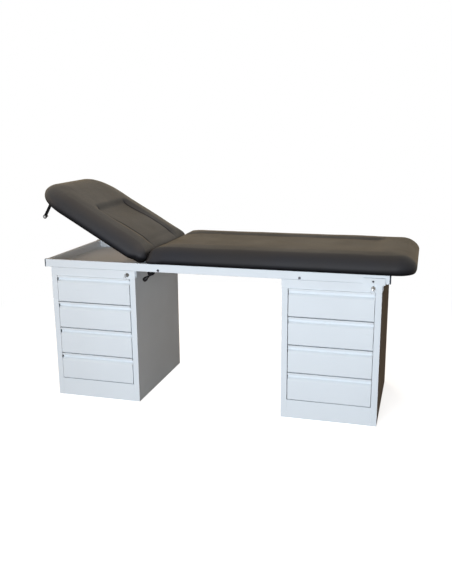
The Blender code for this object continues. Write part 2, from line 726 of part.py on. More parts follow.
def build_backrest(root, finishes):
    """The hinged pad with its board, arms, brake disc and paper roll holder, on the hinge's axis."""
    axis = joint("backrest_hinge", root, (HINGE_X, MIDDLE_Y, HINGE_Z), REST_ANGLE)
    length = BACKREST_LENGTH + PAD_HALF
    far = (HEAD_CORNER, HEAD_EDGE, HEAD_DROP)
    shape = pad_shape(length, BACKREST_RECESS_END + PAD_HALF, -1, (PAD_HALF, 0.0), far)
    pad = add("backrest_pad", moved(shape, PAD_HALF), finishes["vinyl"], axis)
    board_start = PAD_HALF + 0.032
    outline = board_outline(length, board_start, BOARD_INSET, -1, HEAD_CORNER)
    outline = [(x + PAD_HALF, y) for x, y in outline]
    slots = [prism(outline, "z", -PAD_HALF - 0.02, -PAD_HALF + BOARD_THICK)]
    cut(pad, several(slots))
    slots = []
    for ear, arm, way in hinge_lanes():
        y0, y1 = lane(ear - way * SLOT_SIDE, 2 * EAR_THICK + DISC_THICK + 2 * SLOT_SIDE + 3 * SIDE_PLAY, way)
        slots.append(box(-ARM_LENGTH - 0.008, 0.08, y0 - MIDDLE_Y, y1 - MIDDLE_Y, -PAD_HALF - 0.03, 0.0235))
    cut(pad, several(slots))
    outline = board_outline(length, board_start + SEAM, BOARD_INSET + SEAM, -1, HEAD_CORNER)
    outline = [(x + PAD_HALF, y) for x, y in outline]
    board = prism(outline, "z", -PAD_HALF, -PAD_HALF + BOARD_THICK - SEAM)
    add("backrest_board", board, finishes["plywood"], axis)

    strap_low = -PAD_HALF + BOARD_THICK
    strap_high = strap_low + 0.018
    bore = PIN_RADIUS + PIN_PLAY
    for place, (ear, arm, way) in zip(("front", "rear"), hinge_lanes()):
        outline = []
        for i in range(9):
            a = math.radians(90 - i * 22.5)
            outline.append((ARM_ROUND * math.cos(a), ARM_ROUND * math.sin(a)))
        outline += [(-0.030, strap_low), (-ARM_LENGTH, strap_low), (-ARM_LENGTH, strap_high), (-0.034, strap_high)]
        y0, y1 = lane(arm, EAR_THICK, way)
        piece = add(f"hinge_arm_{place}", prism(outline, "y", y0 - MIDDLE_Y, y1 - MIDDLE_Y), finishes["steel"], axis)
        cut(piece, turned("y", 0.0, 0.0, [(y0 - MIDDLE_Y - 0.02, bore), (y1 - MIDDLE_Y + 0.02, bore)]))

    y0 = rod_place() - DISC_THICK / 2 - MIDDLE_Y
    disc = turned("y", 0.0, 0.0, [(y0, DISC_RADIUS), (y0 + DISC_THICK, DISC_RADIUS)], 32)
    piece = add("brake_disc", disc, finishes["steel"], axis)
    cut(piece, turned("y", 0.0, 0.0, [(y0 - 0.01, bore), (y0 + DISC_THICK + 0.01, bore)]))

    build_roll_holder(axis, finishes)


def build_roll_holder(axis, finishes):
    """Two bent arms under the backrest's board, with a rod across that carries a paper roll."""
    x = -ROLL_ARM_PLACE
    w = ROLL_ARM_WIDTH / 2
    top = -PAD_HALF - SEAM
    low = top - ROLL_ARM_LENGTH
    boss = 1.4 * w
    bore = ROLL_ROD_RADIUS + SEAM
    for place, way in (("front", -1), ("rear", 1)):
        outer = way * (CABINET_DEPTH / 2 - ROLL_ARM_INSET)
        outline = [(x - w, top), (x - w, low + 2 * boss)]
        for i in range(13):
            a = math.radians(150 + i * 20)
            outline.append((x + boss * math.cos(a), low + boss + boss * math.sin(a)))
        outline += [(x + w, low + 2 * boss), (x + w, top)]
        y0, y1 = lane(outer, ROLL_ARM_THICK, -way)
        arm = add(f"paper_roll_arm_{place}", prism(outline, "y", y0, y1), finishes["black"], axis)
        y2, y3 = lane(outer - way * ROLL_ARM_THICK / 2, ROLL_ARM_FOOT, -way)
        cut(arm, box(x - w + 0.0002, x + w - 0.0002, y2, y3, top - 0.003, top - 0.0002), "UNION")
        cut(arm, turned("y", x, low + boss, [(y0 - 0.01, bore), (y1 + 0.01, bore)], 16))
    reach = CABINET_DEPTH / 2 - ROLL_ARM_INSET + ROLL_ROD_PROUD
    edge = ROLL_ROD_RADIUS - 0.001
    profile = [(-reach, edge), (-reach + 0.001, ROLL_ROD_RADIUS), (reach - 0.001, ROLL_ROD_RADIUS), (reach, edge)]
    add("paper_roll_rod", turned("y", x, low + boss, profile, 16), finishes["steel"], axis)


def rod_place():
    """The push rod's place across the couch, under the brake disc."""
    ear, arm, way = hinge_lanes()[0]
    return arm + way * (EAR_THICK + SEAM + DISC_THICK / 2)


def lever_axis():
    """The release lever's axis, (x, z)."""
    return HINGE_X + ROCKER, HINGE_Z - LEVER_DROP


def lever_plates():
    """The near faces of the two cheeks that carry the lever's shaft."""
    return RAIL_WIDTH + 0.018, rod_place() + 0.008


def build_bracket(root, finishes):
    """The lever's bracket: a web on the hinge plate's flange, with a cheek at each end."""
    x, z = lever_axis()
    web = HINGE_PLATE_END + SEAM
    high = RAIL_TOP - 0.003
    low = RAIL_TOP - HINGE_PLATE_FLANGE
    first, last = lever_plates()
    plate = box(web, web + BRACKET_THICK, first + SEAM, last + BRACKET_THICK - SEAM, low, high)
    piece = add("lever_bracket", plate, finishes["steel"], root)
    cheeks, bores = [], []
    bore = SHAFT_RADIUS + PIN_PLAY
    for y in (first, last):
        edge = web + SEAM
        outline = [(edge, high - SEAM), (edge, low + SEAM), (x - 0.010, z), (x - 0.006, z - 0.008)]
        outline += [(x + 0.006, z - 0.008), (x + 0.010, z), (x + 0.006, low), (edge + 0.014, high - SEAM)]
        cheeks.append(prism(outline, "y", y, y + BRACKET_THICK))
        bores.append(turned("y", x, z, [(y - 0.002, bore), (y + BRACKET_THICK + 0.002, bore)]))
    cut(piece, several(cheeks), "UNION")
    cut(piece, several(bores))


def build_hinge(root, finishes):
    """The hinge plate with its ears, and the pins."""
    top = RAIL_TOP - 0.0005
    low = top - HINGE_PLATE_FLANGE
    line = [(HINGE_PLATE_X, low), (HINGE_PLATE_X, top), (HINGE_PLATE_END, top), (HINGE_PLATE_END, low)]
    section = folded(line, -HINGE_PLATE_THICK)
    plate = prism(section, "y", RAIL_WIDTH + SEAM, CABINET_DEPTH - RAIL_WIDTH - SEAM)
    piece = add("hinge_plate", plate, finishes["white"], root)
    ears = []
    holes = []
    for ear, arm, way in hinge_lanes():
        outline = [(HINGE_X - 0.018, top - 0.001), (HINGE_X + 0.018, top - 0.001)]
        for i in range(9):
            a = math.radians(-15 + i * 210 / 8)
            outline.append((HINGE_X + EAR_ROUND * math.cos(a), HINGE_Z + EAR_ROUND * math.sin(a)))
        y0, y1 = lane(ear, EAR_THICK, way)
        ears.append(prism(outline, "y", y0, y1))
        bore = PIN_RADIUS + PIN_PLAY
        holes.append(turned("y", HINGE_X, HINGE_Z, [(y0 - 0.004, bore), (y1 + 0.004, bore)]))
    cut(piece, several(ears), "UNION")
    rod = ROD_RADIUS + 0.0006
    slot = rounded(HINGE_X - rod - 0.010, HINGE_X + rod, rod_place() - rod, rod_place() + rod, rod * 0.9)
    holes.append(prism(slot, "z", top - 0.01, top + 0.01))
    cut(piece, several(holes))

    for place, (ear, arm, way) in zip(("front", "rear"), hinge_lanes()):
        start = ear - way * 0.001
        reach = 2 * EAR_THICK + DISC_THICK + SIDE_PLAY + SEAM + 0.0012
        y0, y1 = lane(start, reach, way)
        pin = turned("y", HINGE_X, HINGE_Z, [(y0, PIN_RADIUS), (y1, PIN_RADIUS)])
        add(f"hinge_pin_{place}", pin, finishes["steel"], root)


def build_lever(root, finishes):
    """The release lever with its knob, and the brake shoe on a post on the lever's rocker."""
    rod_y = rod_place()
    axis_x, axis_z = lever_axis()
    front = RAIL_WIDTH + 0.004
    axis = joint("release_lever_axis", root, (axis_x, 0.0, axis_z))
    shaft_end = lever_plates()[1] + 0.004
    shaft = turned("y", 0.0, 0.0, [(front, SHAFT_RADIUS), (shaft_end, SHAFT_RADIUS)])
    lever = add("release_lever", shaft, finishes["black"], axis)
    reach = math.hypot(*LEVER_REACH)
    along = (LEVER_REACH[0] / reach, LEVER_REACH[1] / reach)
    across = (-along[1], along[0])

    def arm_point(a, b):
        return (a * along[0] + b * across[0], a * along[1] + b * across[1])

    outline = [(-0.008, -0.006), (-0.008, 0.006), (0.004, 0.0085), (0.020, 0.0055), (0.024, 0.003)]
    outline += [(0.024, -0.003), (0.020, -0.0055), (0.004, -0.0085)]
    hub = prism([arm_point(a, b) for a, b in outline], "y", front + 0.001, front + 0.011)
    finger = [(-0.001, -0.0032), (-0.001, 0.0032), (-ROCKER - 0.004, 0.0032), (-ROCKER - 0.004, -0.0026)]
    rocker = prism(finger, "y", rod_y - 0.0025, rod_y + 0.0025)
    cut(lever, several([hub, rocker]), "UNION")

    neck_y = front + 0.006
    rings = []
    profile = [(0.0236, 0.0022), (0.034, 0.0022)]
    for a, radius in profile:
        ring = []
        for p, q in circle(0.0, 0.0, radius, 12):
            u, v = arm_point(a, p)
            ring.append((u, neck_y + q, v))
        rings.append(ring)
    cut(lever, loft(rings), "UNION")

    rings = []
    start = 0.0285
    profile = [(0.0, 0.5), (0.10, 0.62), (0.35, 0.80), (0.65, 1.0), (0.85, 0.95), (0.96, 0.7), (1.0, 0.4)]
    for part, size in profile:
        ring = []
        for p, q in circle(0.0, 0.0, KNOB_RADIUS * size, 16):
            u, v = arm_point(start + part * KNOB_LENGTH, p)
            ring.append((u, neck_y + q, v))
        rings.append(ring)
    knob = add("lever_knob", loft(rings), finishes["gloss_black"], axis)
    hole = []
    for a in (start - 0.01, 0.0343):
        ring = []
        for p, q in circle(0.0, 0.0, 0.0022 + SEAM, 12):
            u, v = arm_point(a, p)
            ring.append((u, neck_y + q, v))
        hole.append(ring)
    cut(knob, loft(hole))

    arc = DISC_RADIUS + SHOE_GAP
    half = SHOE_WIDTH / 2
    outline = []
    for i in range(9):
        x = -half + i * SHOE_WIDTH / 8
        outline.append((x - ROCKER, LEVER_DROP - math.sqrt(arc**2 - x**2)))
    floor = LEVER_DROP - arc - SHOE_THICK
    outline += [(half - ROCKER, floor), (-half - ROCKER, floor)]
    thick = DISC_THICK / 2 - SIDE_PLAY
    shoe = add("brake_shoe", prism(outline, "y", rod_y - thick, rod_y + thick), finishes["black"], axis)
    post = turned("z", -ROCKER, rod_y, [(0.0032 + SEAM, ROD_RADIUS), (floor + 0.003, ROD_RADIUS)], 12)
    cut(shoe, post, "UNION")


def finishes_of():
    """The couch's plain materials."""
    return {
        "white": material("white_powder_coat", (0.80, 0.82, 0.84), 0.42),
        "zinc": material("zinc_plate", (0.62, 0.63, 0.64), 0.38, 0.9),
        "steel": material("bright_steel", (0.66, 0.66, 0.65), 0.28, 1.0),
        "chrome": material("chrome", (0.80, 0.80, 0.80), 0.12, 1.0),
        "vinyl": material("dark_vinyl", (0.035, 0.033, 0.030), 0.52),
        "plywood": material("plywood", (0.52, 0.38, 0.22), 0.7),
        "black": material("black_coat", (0.012, 0.012, 0.013), 0.45),
        "gloss_black": material("gloss_black_plastic", (0.008, 0.008, 0.009), 0.2),
        "grey_plastic": material("dark_grey_plastic", (0.10, 0.12, 0.15), 0.5),
    }


def centre_on_floor(root):
    """Moves the whole couch so that its box stands centred on the origin."""
    bpy.context.view_layer.update()
    graph = bpy.context.evaluated_depsgraph_get()
    low = np.full(3, np.inf)
    high = np.full(3, -np.inf)
    for obj in bpy.context.scene.objects:
        if obj.type != "MESH" or obj.hide_render:
            continue
        ready = obj.evaluated_get(graph)
        mesh = ready.to_mesh()
        points = np.empty(len(mesh.vertices) * 3, np.float32)
        mesh.vertices.foreach_get("co", points)
        ready.to_mesh_clear()
        world = np.array(ready.matrix_world)
        points = points.reshape(-1, 3) @ world[:3, :3].T + world[:3, 3]
        low = np.minimum(low, points.min(0))
        high = np.maximum(high, points.max(0))
    middle = (low + high) / 2
    root.location = (-middle[0], -middle[1], -low[2])


def main():
    """Builds the whole couch."""
    for obj in list(bpy.data.objects):
        bpy.data.objects.remove(obj)
    finishes = finishes_of()
    root = joint("couch", None, (0.0, 0.0, 0.0))
    for side, left in (("left", 0.0), ("right", CABINET_PITCH)):
        build_cabinet(side, left, root, finishes)
        build_drawers(side, left, root, finishes)
        build_lock(side, left, root, finishes)
    build_frame(root, finishes)
    build_seat(root, finishes)
    build_backrest(root, finishes)
    build_hinge(root, finishes)
    build_bracket(root, finishes)
    build_lever(root, finishes)
    centre_on_floor(root)


main()
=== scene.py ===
"""Examination couch with two drawer cabinets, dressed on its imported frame."""

import json
import logging
import math
from dataclasses import dataclass, field
from enum import Enum
from itertools import product

import bpy
import numpy as np
from mathutils import Matrix, Vector

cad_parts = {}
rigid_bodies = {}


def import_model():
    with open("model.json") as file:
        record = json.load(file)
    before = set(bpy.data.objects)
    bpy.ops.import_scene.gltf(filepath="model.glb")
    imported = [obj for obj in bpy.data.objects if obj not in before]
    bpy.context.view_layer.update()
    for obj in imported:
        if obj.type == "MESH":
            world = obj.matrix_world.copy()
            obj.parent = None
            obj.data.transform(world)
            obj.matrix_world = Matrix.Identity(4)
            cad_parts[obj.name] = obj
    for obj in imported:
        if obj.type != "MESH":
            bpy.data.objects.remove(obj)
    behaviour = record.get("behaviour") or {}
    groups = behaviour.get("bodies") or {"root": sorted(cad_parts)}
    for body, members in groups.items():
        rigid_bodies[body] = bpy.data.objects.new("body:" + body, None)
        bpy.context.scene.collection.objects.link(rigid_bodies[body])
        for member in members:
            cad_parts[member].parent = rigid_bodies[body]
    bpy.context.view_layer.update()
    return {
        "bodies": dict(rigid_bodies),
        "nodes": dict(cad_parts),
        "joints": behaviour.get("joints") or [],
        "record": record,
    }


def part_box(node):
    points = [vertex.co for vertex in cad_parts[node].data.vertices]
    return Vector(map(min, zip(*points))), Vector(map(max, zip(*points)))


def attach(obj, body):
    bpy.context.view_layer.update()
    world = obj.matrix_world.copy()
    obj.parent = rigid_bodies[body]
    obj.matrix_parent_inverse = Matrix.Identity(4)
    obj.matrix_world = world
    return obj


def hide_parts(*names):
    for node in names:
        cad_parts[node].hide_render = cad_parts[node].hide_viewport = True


LOG = logging.getLogger("couch")
IMAGE_HEIGHT = 584
MM = 0.001
FULL_TURN = 2.0 * math.pi
SHARP_ANGLE = 50.0
WHITE_COAT, STEEL, VINYL = "white_powder_coat", "bright_steel", "dark_vinyl"

Array = np.ndarray
Colour = tuple[float, float, float, float]
Point = tuple[float, float, float]
Form = tuple[Array, list]
Tree = bpy.types.NodeTree
Node = bpy.types.Node
Socket = bpy.types.NodeSocket
Material = bpy.types.Material
Piece = bpy.types.Object


# Small tools

def srgb(code: str) -> Colour:
    """Turns an sRGB hex colour into linear light.

    Args:
        code: Six hex digits.

    Returns:
        Linear red, green and blue, with an alpha of 1.
    """
    values = np.array([int(code[i:i + 2], 16) for i in (0, 2, 4)]) / 255.0
    linear = np.where(values <= 0.04045, values / 12.92, ((values + 0.055) / 1.055) ** 2.4)
    return (float(linear[0]), float(linear[1]), float(linear[2]), 1.0)


def put(tree: Tree, kind: str, settings: dict | None = None, **feeds) -> Node:
    """Adds a shader node with its settings and links.

    Args:
        tree: The node tree of a material or of the world.
        kind: The node's type, without its ShaderNode prefix.
        settings: Values of the node's own properties.
        feeds: Values or sockets for its inputs, by name with _ for a space, or by place as at0 or at1.

    Returns:
        The new node.
    """
    node = tree.nodes.new("ShaderNode" + kind)
    for key, value in (settings or {}).items():
        setattr(node, key, value)
    for key, value in feeds.items():
        place = int(key[2:]) if key[:2] == "at" and key[2:].isdigit() else key.replace("_", " ")
        socket = node.inputs[place]
        if isinstance(value, Socket):
            tree.links.new(value, socket)
        else:
            socket.default_value = value
    return node


def cleared(owner: Material | bpy.types.World) -> Tree:
    """Turns on an owner's nodes and takes out those that it starts with."""
    owner.use_nodes = True
    owner.node_tree.nodes.clear()
    return owner.node_tree


def smooth(value: Array) -> Array:
    """A soft step: 0 below 0, 1 above 1, and 3t² − 2t³ between."""
    value = np.clip(value, 0.0, 1.0)
    return value * value * (3.0 - 2.0 * value)


def unit(rows: Array) -> Array:
    """The same directions with length 1."""
    return rows / np.linalg.norm(rows, axis=-1, keepdims=True)


def stretched(values: Array, places: Array, count: int) -> Array:
    """Spreads values that are known at some places to count rows, evenly between the known ones."""
    lines = [np.interp(np.arange(count), places, line) for line in values.reshape(len(values), -1).T]
    return np.stack(lines, -1).reshape(count, *values.shape[1:])


def grid_faces(rows: int, columns: int, closed: bool = False) -> Array:
    """Quads of a grid whose points are numbered row by row.

    Args:
        rows: Points along the first parameter.
        columns: Points along the second.
        closed: Whether the last column joins the first.

    Returns:
        An array of four point numbers for each face.
    """
    i = np.arange(rows - 1)[:, None]
    j = np.arange(columns if closed else columns - 1)[None, :]
    i2, j2 = i + 1, (j + 1) % columns
    corners = [i * columns + j, i * columns + j2, i2 * columns + j2, i2 * columns + j]
    return np.stack([np.broadcast_to(c, (i.size, j.size)) for c in corners], -1).reshape(-1, 4)


def make_piece(name: str, points: Array, faces: list, material: Material, sharp: float = SHARP_ANGLE) -> Piece:
    """Makes a mesh object at the origin from points that are already in place.

    Args:
        name: The piece's name.
        points: Its points, one row each.
        faces: Its faces as rows of point numbers.
        material: Its material.
        sharp: Edges that turn by more than this many degrees stay sharp.

    Returns:
        The linked object.
    """
    mesh = bpy.data.meshes.new(name)
    mesh.from_pydata(points.reshape(-1, 3).tolist(), [], faces)
    mesh.polygons.foreach_set("use_smooth", np.ones(len(mesh.polygons), bool))
    mesh.set_sharp_from_angle(angle=math.radians(sharp))
    mesh.materials.append(material)
    mesh.update()
    piece = bpy.data.objects.new(name, mesh)
    bpy.context.scene.collection.objects.link(piece)
    return piece


def carve(piece: Piece, points: Array, faces: list) -> None:
    """Cuts a closed form out of a piece and keeps the result as the piece's own mesh.

    Args:
        piece: The piece that is cut.
        points: The form's points.
        faces: The form's faces, pointing outwards.
    """
    cutter = make_piece(piece.name + "_cutter", points, faces, piece.data.materials[0])
    change = piece.modifiers.new("carve", "BOOLEAN")
    change.object, change.solver, change.operation = cutter, "EXACT", "DIFFERENCE"
    graph = bpy.context.evaluated_depsgraph_get()
    mesh = bpy.data.meshes.new_from_object(piece.evaluated_get(graph))
    piece.modifiers.clear()
    piece.data = mesh
    mesh.name = piece.name
    bpy.data.objects.remove(cutter)
    mesh.set_sharp_from_angle(angle=math.radians(SHARP_ANGLE))


def block(low: Point, high: Point) -> Form:
    """The eight corners and six outward faces of a box between two corners."""
    faces = [[0, 1, 3, 2], [4, 6, 7, 5], [0, 4, 5, 1], [2, 3, 7, 6], [0, 2, 6, 4], [1, 5, 7, 3]]
    return np.array(list(product(*zip(low, high)))), faces


def prism(outline: Array, low: float, high: float) -> Form:
    """A flat outline carried straight up from one height to another.

    Args:
        outline: Its points in x and y. Counter-clockwise ones give faces that point outwards.
        low: The lower height.
        high: The upper height.

    Returns:
        The points and the faces.
    """
    count = len(outline)
    flat = [np.column_stack([outline, np.full(count, z)]) for z in (low, high)]
    sides = [[i, (i + 1) % count, count + (i + 1) % count, count + i] for i in range(count)]
    return np.vstack(flat), sides + [list(range(count))[::-1], list(range(count, 2 * count))]


def around(count: int, first: Array, second: Array) -> Array:
    """Directions all round: cos t·first + sin t·second, with count even steps of t in a full turn."""
    turn = np.linspace(0.0, FULL_TURN, count, endpoint=False)
    return np.cos(turn)[:, None] * first + np.sin(turn)[:, None] * second


def capped(rings: Array) -> Form:
    """Rings of points joined to a closed form with a flat cap at each end.

    Args:
        rings: Points by ring and place.

    Returns:
        The points and the faces. The sides and the caps don't always turn the same way.
    """
    rows, count = rings.shape[:2]
    faces = grid_faces(rows, count, closed=True)[:, ::-1].tolist()
    caps = [list(range(count))[::-1], list(range((rows - 1) * count, rows * count))]
    return rings.reshape(-1, 3), faces + caps


def revolve(profile: Array, base: Array, along: Array, count: int) -> Form:
    """A profile carried round an axis: base + a·along + r·(cos t·side + sin t·other), with t all round.

    Args:
        profile: Rows of distance along the axis and radius, from one end to the other.
        base: A point on the axis.
        along: The axis, of length 1.
        count: Points round the axis.

    Returns:
        The points and the faces, with a flat cap at each end.
    """
    helper = np.array([0.0, 1.0, 0.0]) if abs(along[1]) < 0.9 else np.array([0.0, 0.0, 1.0])
    side = unit(np.cross(along, helper))
    spoke = around(count, side, np.cross(along, side))
    return capped(base + profile[:, :1, None] * along + profile[:, 1:, None] * spoke[None])


def bent(line: Array, thick: float, radius: float = 0.0012) -> Array:
    """The section of a sheet bent along a line of points, with its thickness on the line's right.

    Each bend is a soft curve, (1 − t)²·a + 2t(1 − t)·c + t²·b, from a point before the corner c to one after it.
    The far side is the same line moved square to itself by the thickness.

    Args:
        line: Points along the sheet's outer side.
        thick: The sheet's thickness.
        radius: How far before and after a corner its bend reaches.

    Returns:
        The closed section, counter-clockwise.
    """
    step = unit(np.diff(line, axis=0))
    t = np.linspace(0.0, 1.0, 5)[:, None]
    outer = [line[:1]]
    for corner, before, after in zip(line[1:-1], step[:-1], step[1:]):
        a, b = corner - radius * before, corner + radius * after
        outer.append((1.0 - t) ** 2 * a + 2.0 * t * (1.0 - t) * corner + t**2 * b)
    outer = np.vstack(outer + [line[-1:]])
    ahead = unit(np.gradient(outer, axis=0))
    section = np.vstack([outer, (outer + thick * np.column_stack([ahead[:, 1], -ahead[:, 0]]))[::-1]])
    x, y = section.T
    area = np.sum(x * np.roll(y, -1) - y * np.roll(x, -1))
    return section if area > 0.0 else section[::-1]


def merged(forms: list[Form]) -> Form:
    """Several closed forms as the points and faces of one mesh.

    Args:
        forms: The forms.

    Returns:
        All points and faces, with the points numbered on from form to form.
    """
    starts = np.cumsum([0] + [len(points) for points, _ in forms]).tolist()
    faces = [[number + start for number in face] for (_, part), start in zip(forms, starts) for face in part]
    return np.vstack([points for points, _ in forms]), faces


def carry(piece: Piece, body: str, node: str = "") -> None:
    """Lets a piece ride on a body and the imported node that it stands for.

    Args:
        piece: The piece.
        body: The body that carries it.
        node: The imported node, if it stands for one.
    """
    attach(piece, body)
    if node:
        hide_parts(node)
    LOG.info("%s: %d faces", piece.name, len(piece.data.polygons))


# Finishes

@dataclass(frozen=True)
class Shader:
    """One material's nodes, with short ways to add the usual ones. Each gives the socket of its result."""

    tree: Tree
    place: Socket

    def noise(self, size_mm: float, detail: float, output: str = "Fac", **feeds) -> Socket:
        """Adds noise with features of about size_mm over the piece's own coordinates."""
        feeds |= {"Vector": self.place, "Scale": 1.0 / (size_mm * MM), "Detail": detail}
        return put(self.tree, "TexNoise", **feeds).outputs[output]

    def streaks(self, per_metre: Point, detail: float, **feeds) -> Socket:
        """Adds noise with its own count of features in a metre along x, y and z. See noise."""
        drawn = put(self.tree, "Mapping", Vector=self.place, Scale=per_metre).outputs[0]
        return put(self.tree, "TexNoise", Vector=drawn, Scale=1.0, Detail=detail, **feeds).outputs[0]

    def ranged(self, value: Socket, old: tuple[float, float], new: tuple[float, float] = (0.0, 1.0),
               soft: bool = False) -> Socket:
        """Takes a value from one range to another.

        Args:
            value: The value.
            old: Its range, outside of which it is cut off.
            new: The range of the result.
            soft: Whether it goes by a soft step instead of evenly.

        Returns:
            The value in its new range.
        """
        feeds = {"Value": value, "From_Min": old[0], "From_Max": old[1], "To_Min": new[0], "To_Max": new[1]}
        kind = "SMOOTHSTEP" if soft else "LINEAR"
        return put(self.tree, "MapRange", {"interpolation_type": kind}, **feeds).outputs[0]

    def mixed(self, share: Socket, first: str | Socket, second: str | Socket) -> Socket:
        """Mixes two colours, each a hex code or a socket, by the share of the second."""
        ends = [srgb(end) if isinstance(end, str) else end for end in (first, second)]
        return put(self.tree, "Mix", {"data_type": "RGBA"}, at0=share, at6=ends[0], at7=ends[1]).outputs[2]

    def math(self, operation: str, *values: float | Socket) -> Socket:
        """Adds a Math node with its values in order."""
        feeds = {f"at{place}": value for place, value in enumerate(values)}
        return put(self.tree, "Math", {"operation": operation}, **feeds).outputs[0]

    def bump(self, height: Socket, strength: float, distance: float) -> Socket:
        """Turns a height into normals, with the relief's strength and its depth in metres."""
        return put(self.tree, "Bump", Strength=strength, Distance=distance, Height=height).outputs[0]

    def surface(self, **feeds) -> Node:
        """Adds the surface shader. See put."""
        return put(self.tree, "BsdfPrincipled", **feeds)


@dataclass(frozen=True)
class Finish:
    """What a surface is made of, and the record's slot that it belongs to."""

    slot: str
    name: str

    def shade(self, nodes: Shader) -> Node:
        """Adds the finish's nodes.

        Args:
            nodes: The material's nodes.

        Returns:
            The surface shader.
        """
        raise NotImplementedError

    def material(self) -> Material:
        """Makes the material.

        Returns:
            The new material, with the finish's nodes.
        """
        made = bpy.data.materials.new(self.name)
        tree = cleared(made)
        nodes = Shader(tree, put(tree, "TexCoord").outputs["Object"])
        put(tree, "OutputMaterial", Surface=self.shade(nodes).outputs[0])
        return made


@dataclass(frozen=True)
class PowderCoat(Finish):
    """Baked polyester powder on sheet steel: an even half-gloss skin with a fine orange peel.

    The eye gets a cool white with soft, slightly uneven highlights and a few rubbed, greyer places.
    """

    slot: str = WHITE_COAT
    name: str = "white_polyester_powder_coat"
    colour: str = "e2e9ee"
    rubbed: str = "d4dade"
    peel_mm: float = 2.2
    patch_mm: float = 160.0
    shine: float = 0.08

    def shade(self, nodes: Shader) -> Node:
        """Adds orange peel, faint patches and rub marks.

        Args:
            nodes: The material's nodes.

        Returns:
            The surface.
        """
        # Real orange peel is about 1 mm across and is drawn twice as coarse, so that it shows.
        peel = nodes.noise(self.peel_mm, detail=1.5)
        patch = nodes.noise(self.patch_mm, detail=4.0)
        rub = nodes.streaks((14.0, 14.0, 70.0), detail=6.0, Roughness=0.7)
        marks = nodes.ranged(rub, (0.62, 0.80), (0.0, 0.8))
        even = nodes.ranged(patch, (0.3, 0.8), (0.0, 0.22))
        colour = nodes.mixed(nodes.math("MAXIMUM", marks, even), self.colour, self.rubbed)
        rough = nodes.ranged(patch, (0.3, 0.7), (0.50, 0.62))
        return nodes.surface(Base_Color=colour, Roughness=rough, IOR=1.5, Specular_IOR_Level=self.shine,
                             Normal=nodes.bump(peel, strength=0.10, distance=0.0003))


@dataclass(frozen=True)
class ZincSheet(Finish):
    """Galvanised sheet: grey metal whose crystals, the spangle, differ a little in tone and gloss."""

    slot: str = "zinc_plate"
    name: str = "galvanised_steel_sheet"
    light: str = "c3c6c8"
    dark: str = "a2a6a9"
    spangle_mm: float = 11.0

    def shade(self, nodes: Shader) -> Node:
        """Adds spangle cells and a fine roll streak.

        Args:
            nodes: The material's nodes.

        Returns:
            The surface.
        """
        cell = put(nodes.tree, "TexVoronoi", Vector=nodes.place, Scale=1.0 / (self.spangle_mm * MM), Randomness=1.0)
        tone = put(nodes.tree, "SeparateColor", Color=cell.outputs["Color"]).outputs
        streak = nodes.streaks((900.0, 25.0, 900.0), detail=2.0)
        colour = nodes.mixed(nodes.math("MULTIPLY", tone[0], streak), self.light, self.dark)
        rough = nodes.ranged(tone[1], (0.0, 1.0), (0.34, 0.52))
        return nodes.surface(Base_Color=colour, Metallic=0.9, Roughness=rough,
                             Normal=nodes.bump(streak, strength=0.08, distance=0.0002))


@dataclass(frozen=True)
class DrawnMetal(Finish):
    """Bright steel or chrome plate: a mirror dulled by fine draw lines and handling smudges."""

    slot: str = STEEL
    name: str = "nickel_plated_steel"
    colour: str = "c6c7c9"
    smudge: str = "a5a6a8"
    gloss: tuple[float, float] = (0.18, 0.34)
    line_mm: float = 0.5

    def shade(self, nodes: Shader) -> Node:
        """Adds draw lines and smudges.

        Args:
            nodes: The material's nodes.

        Returns:
            The surface.
        """
        fine = 1.0 / (self.line_mm * MM)
        lines = nodes.streaks((fine, fine * 0.04, fine), detail=2.0)
        smudge = nodes.noise(9.0, detail=3.0)
        colour = nodes.mixed(smudge, self.colour, self.smudge)
        rough = nodes.ranged(smudge, (0.3, 0.7), self.gloss)
        return nodes.surface(Base_Color=colour, Metallic=1.0, Roughness=rough,
                             Normal=nodes.bump(lines, strength=0.05, distance=0.0001))


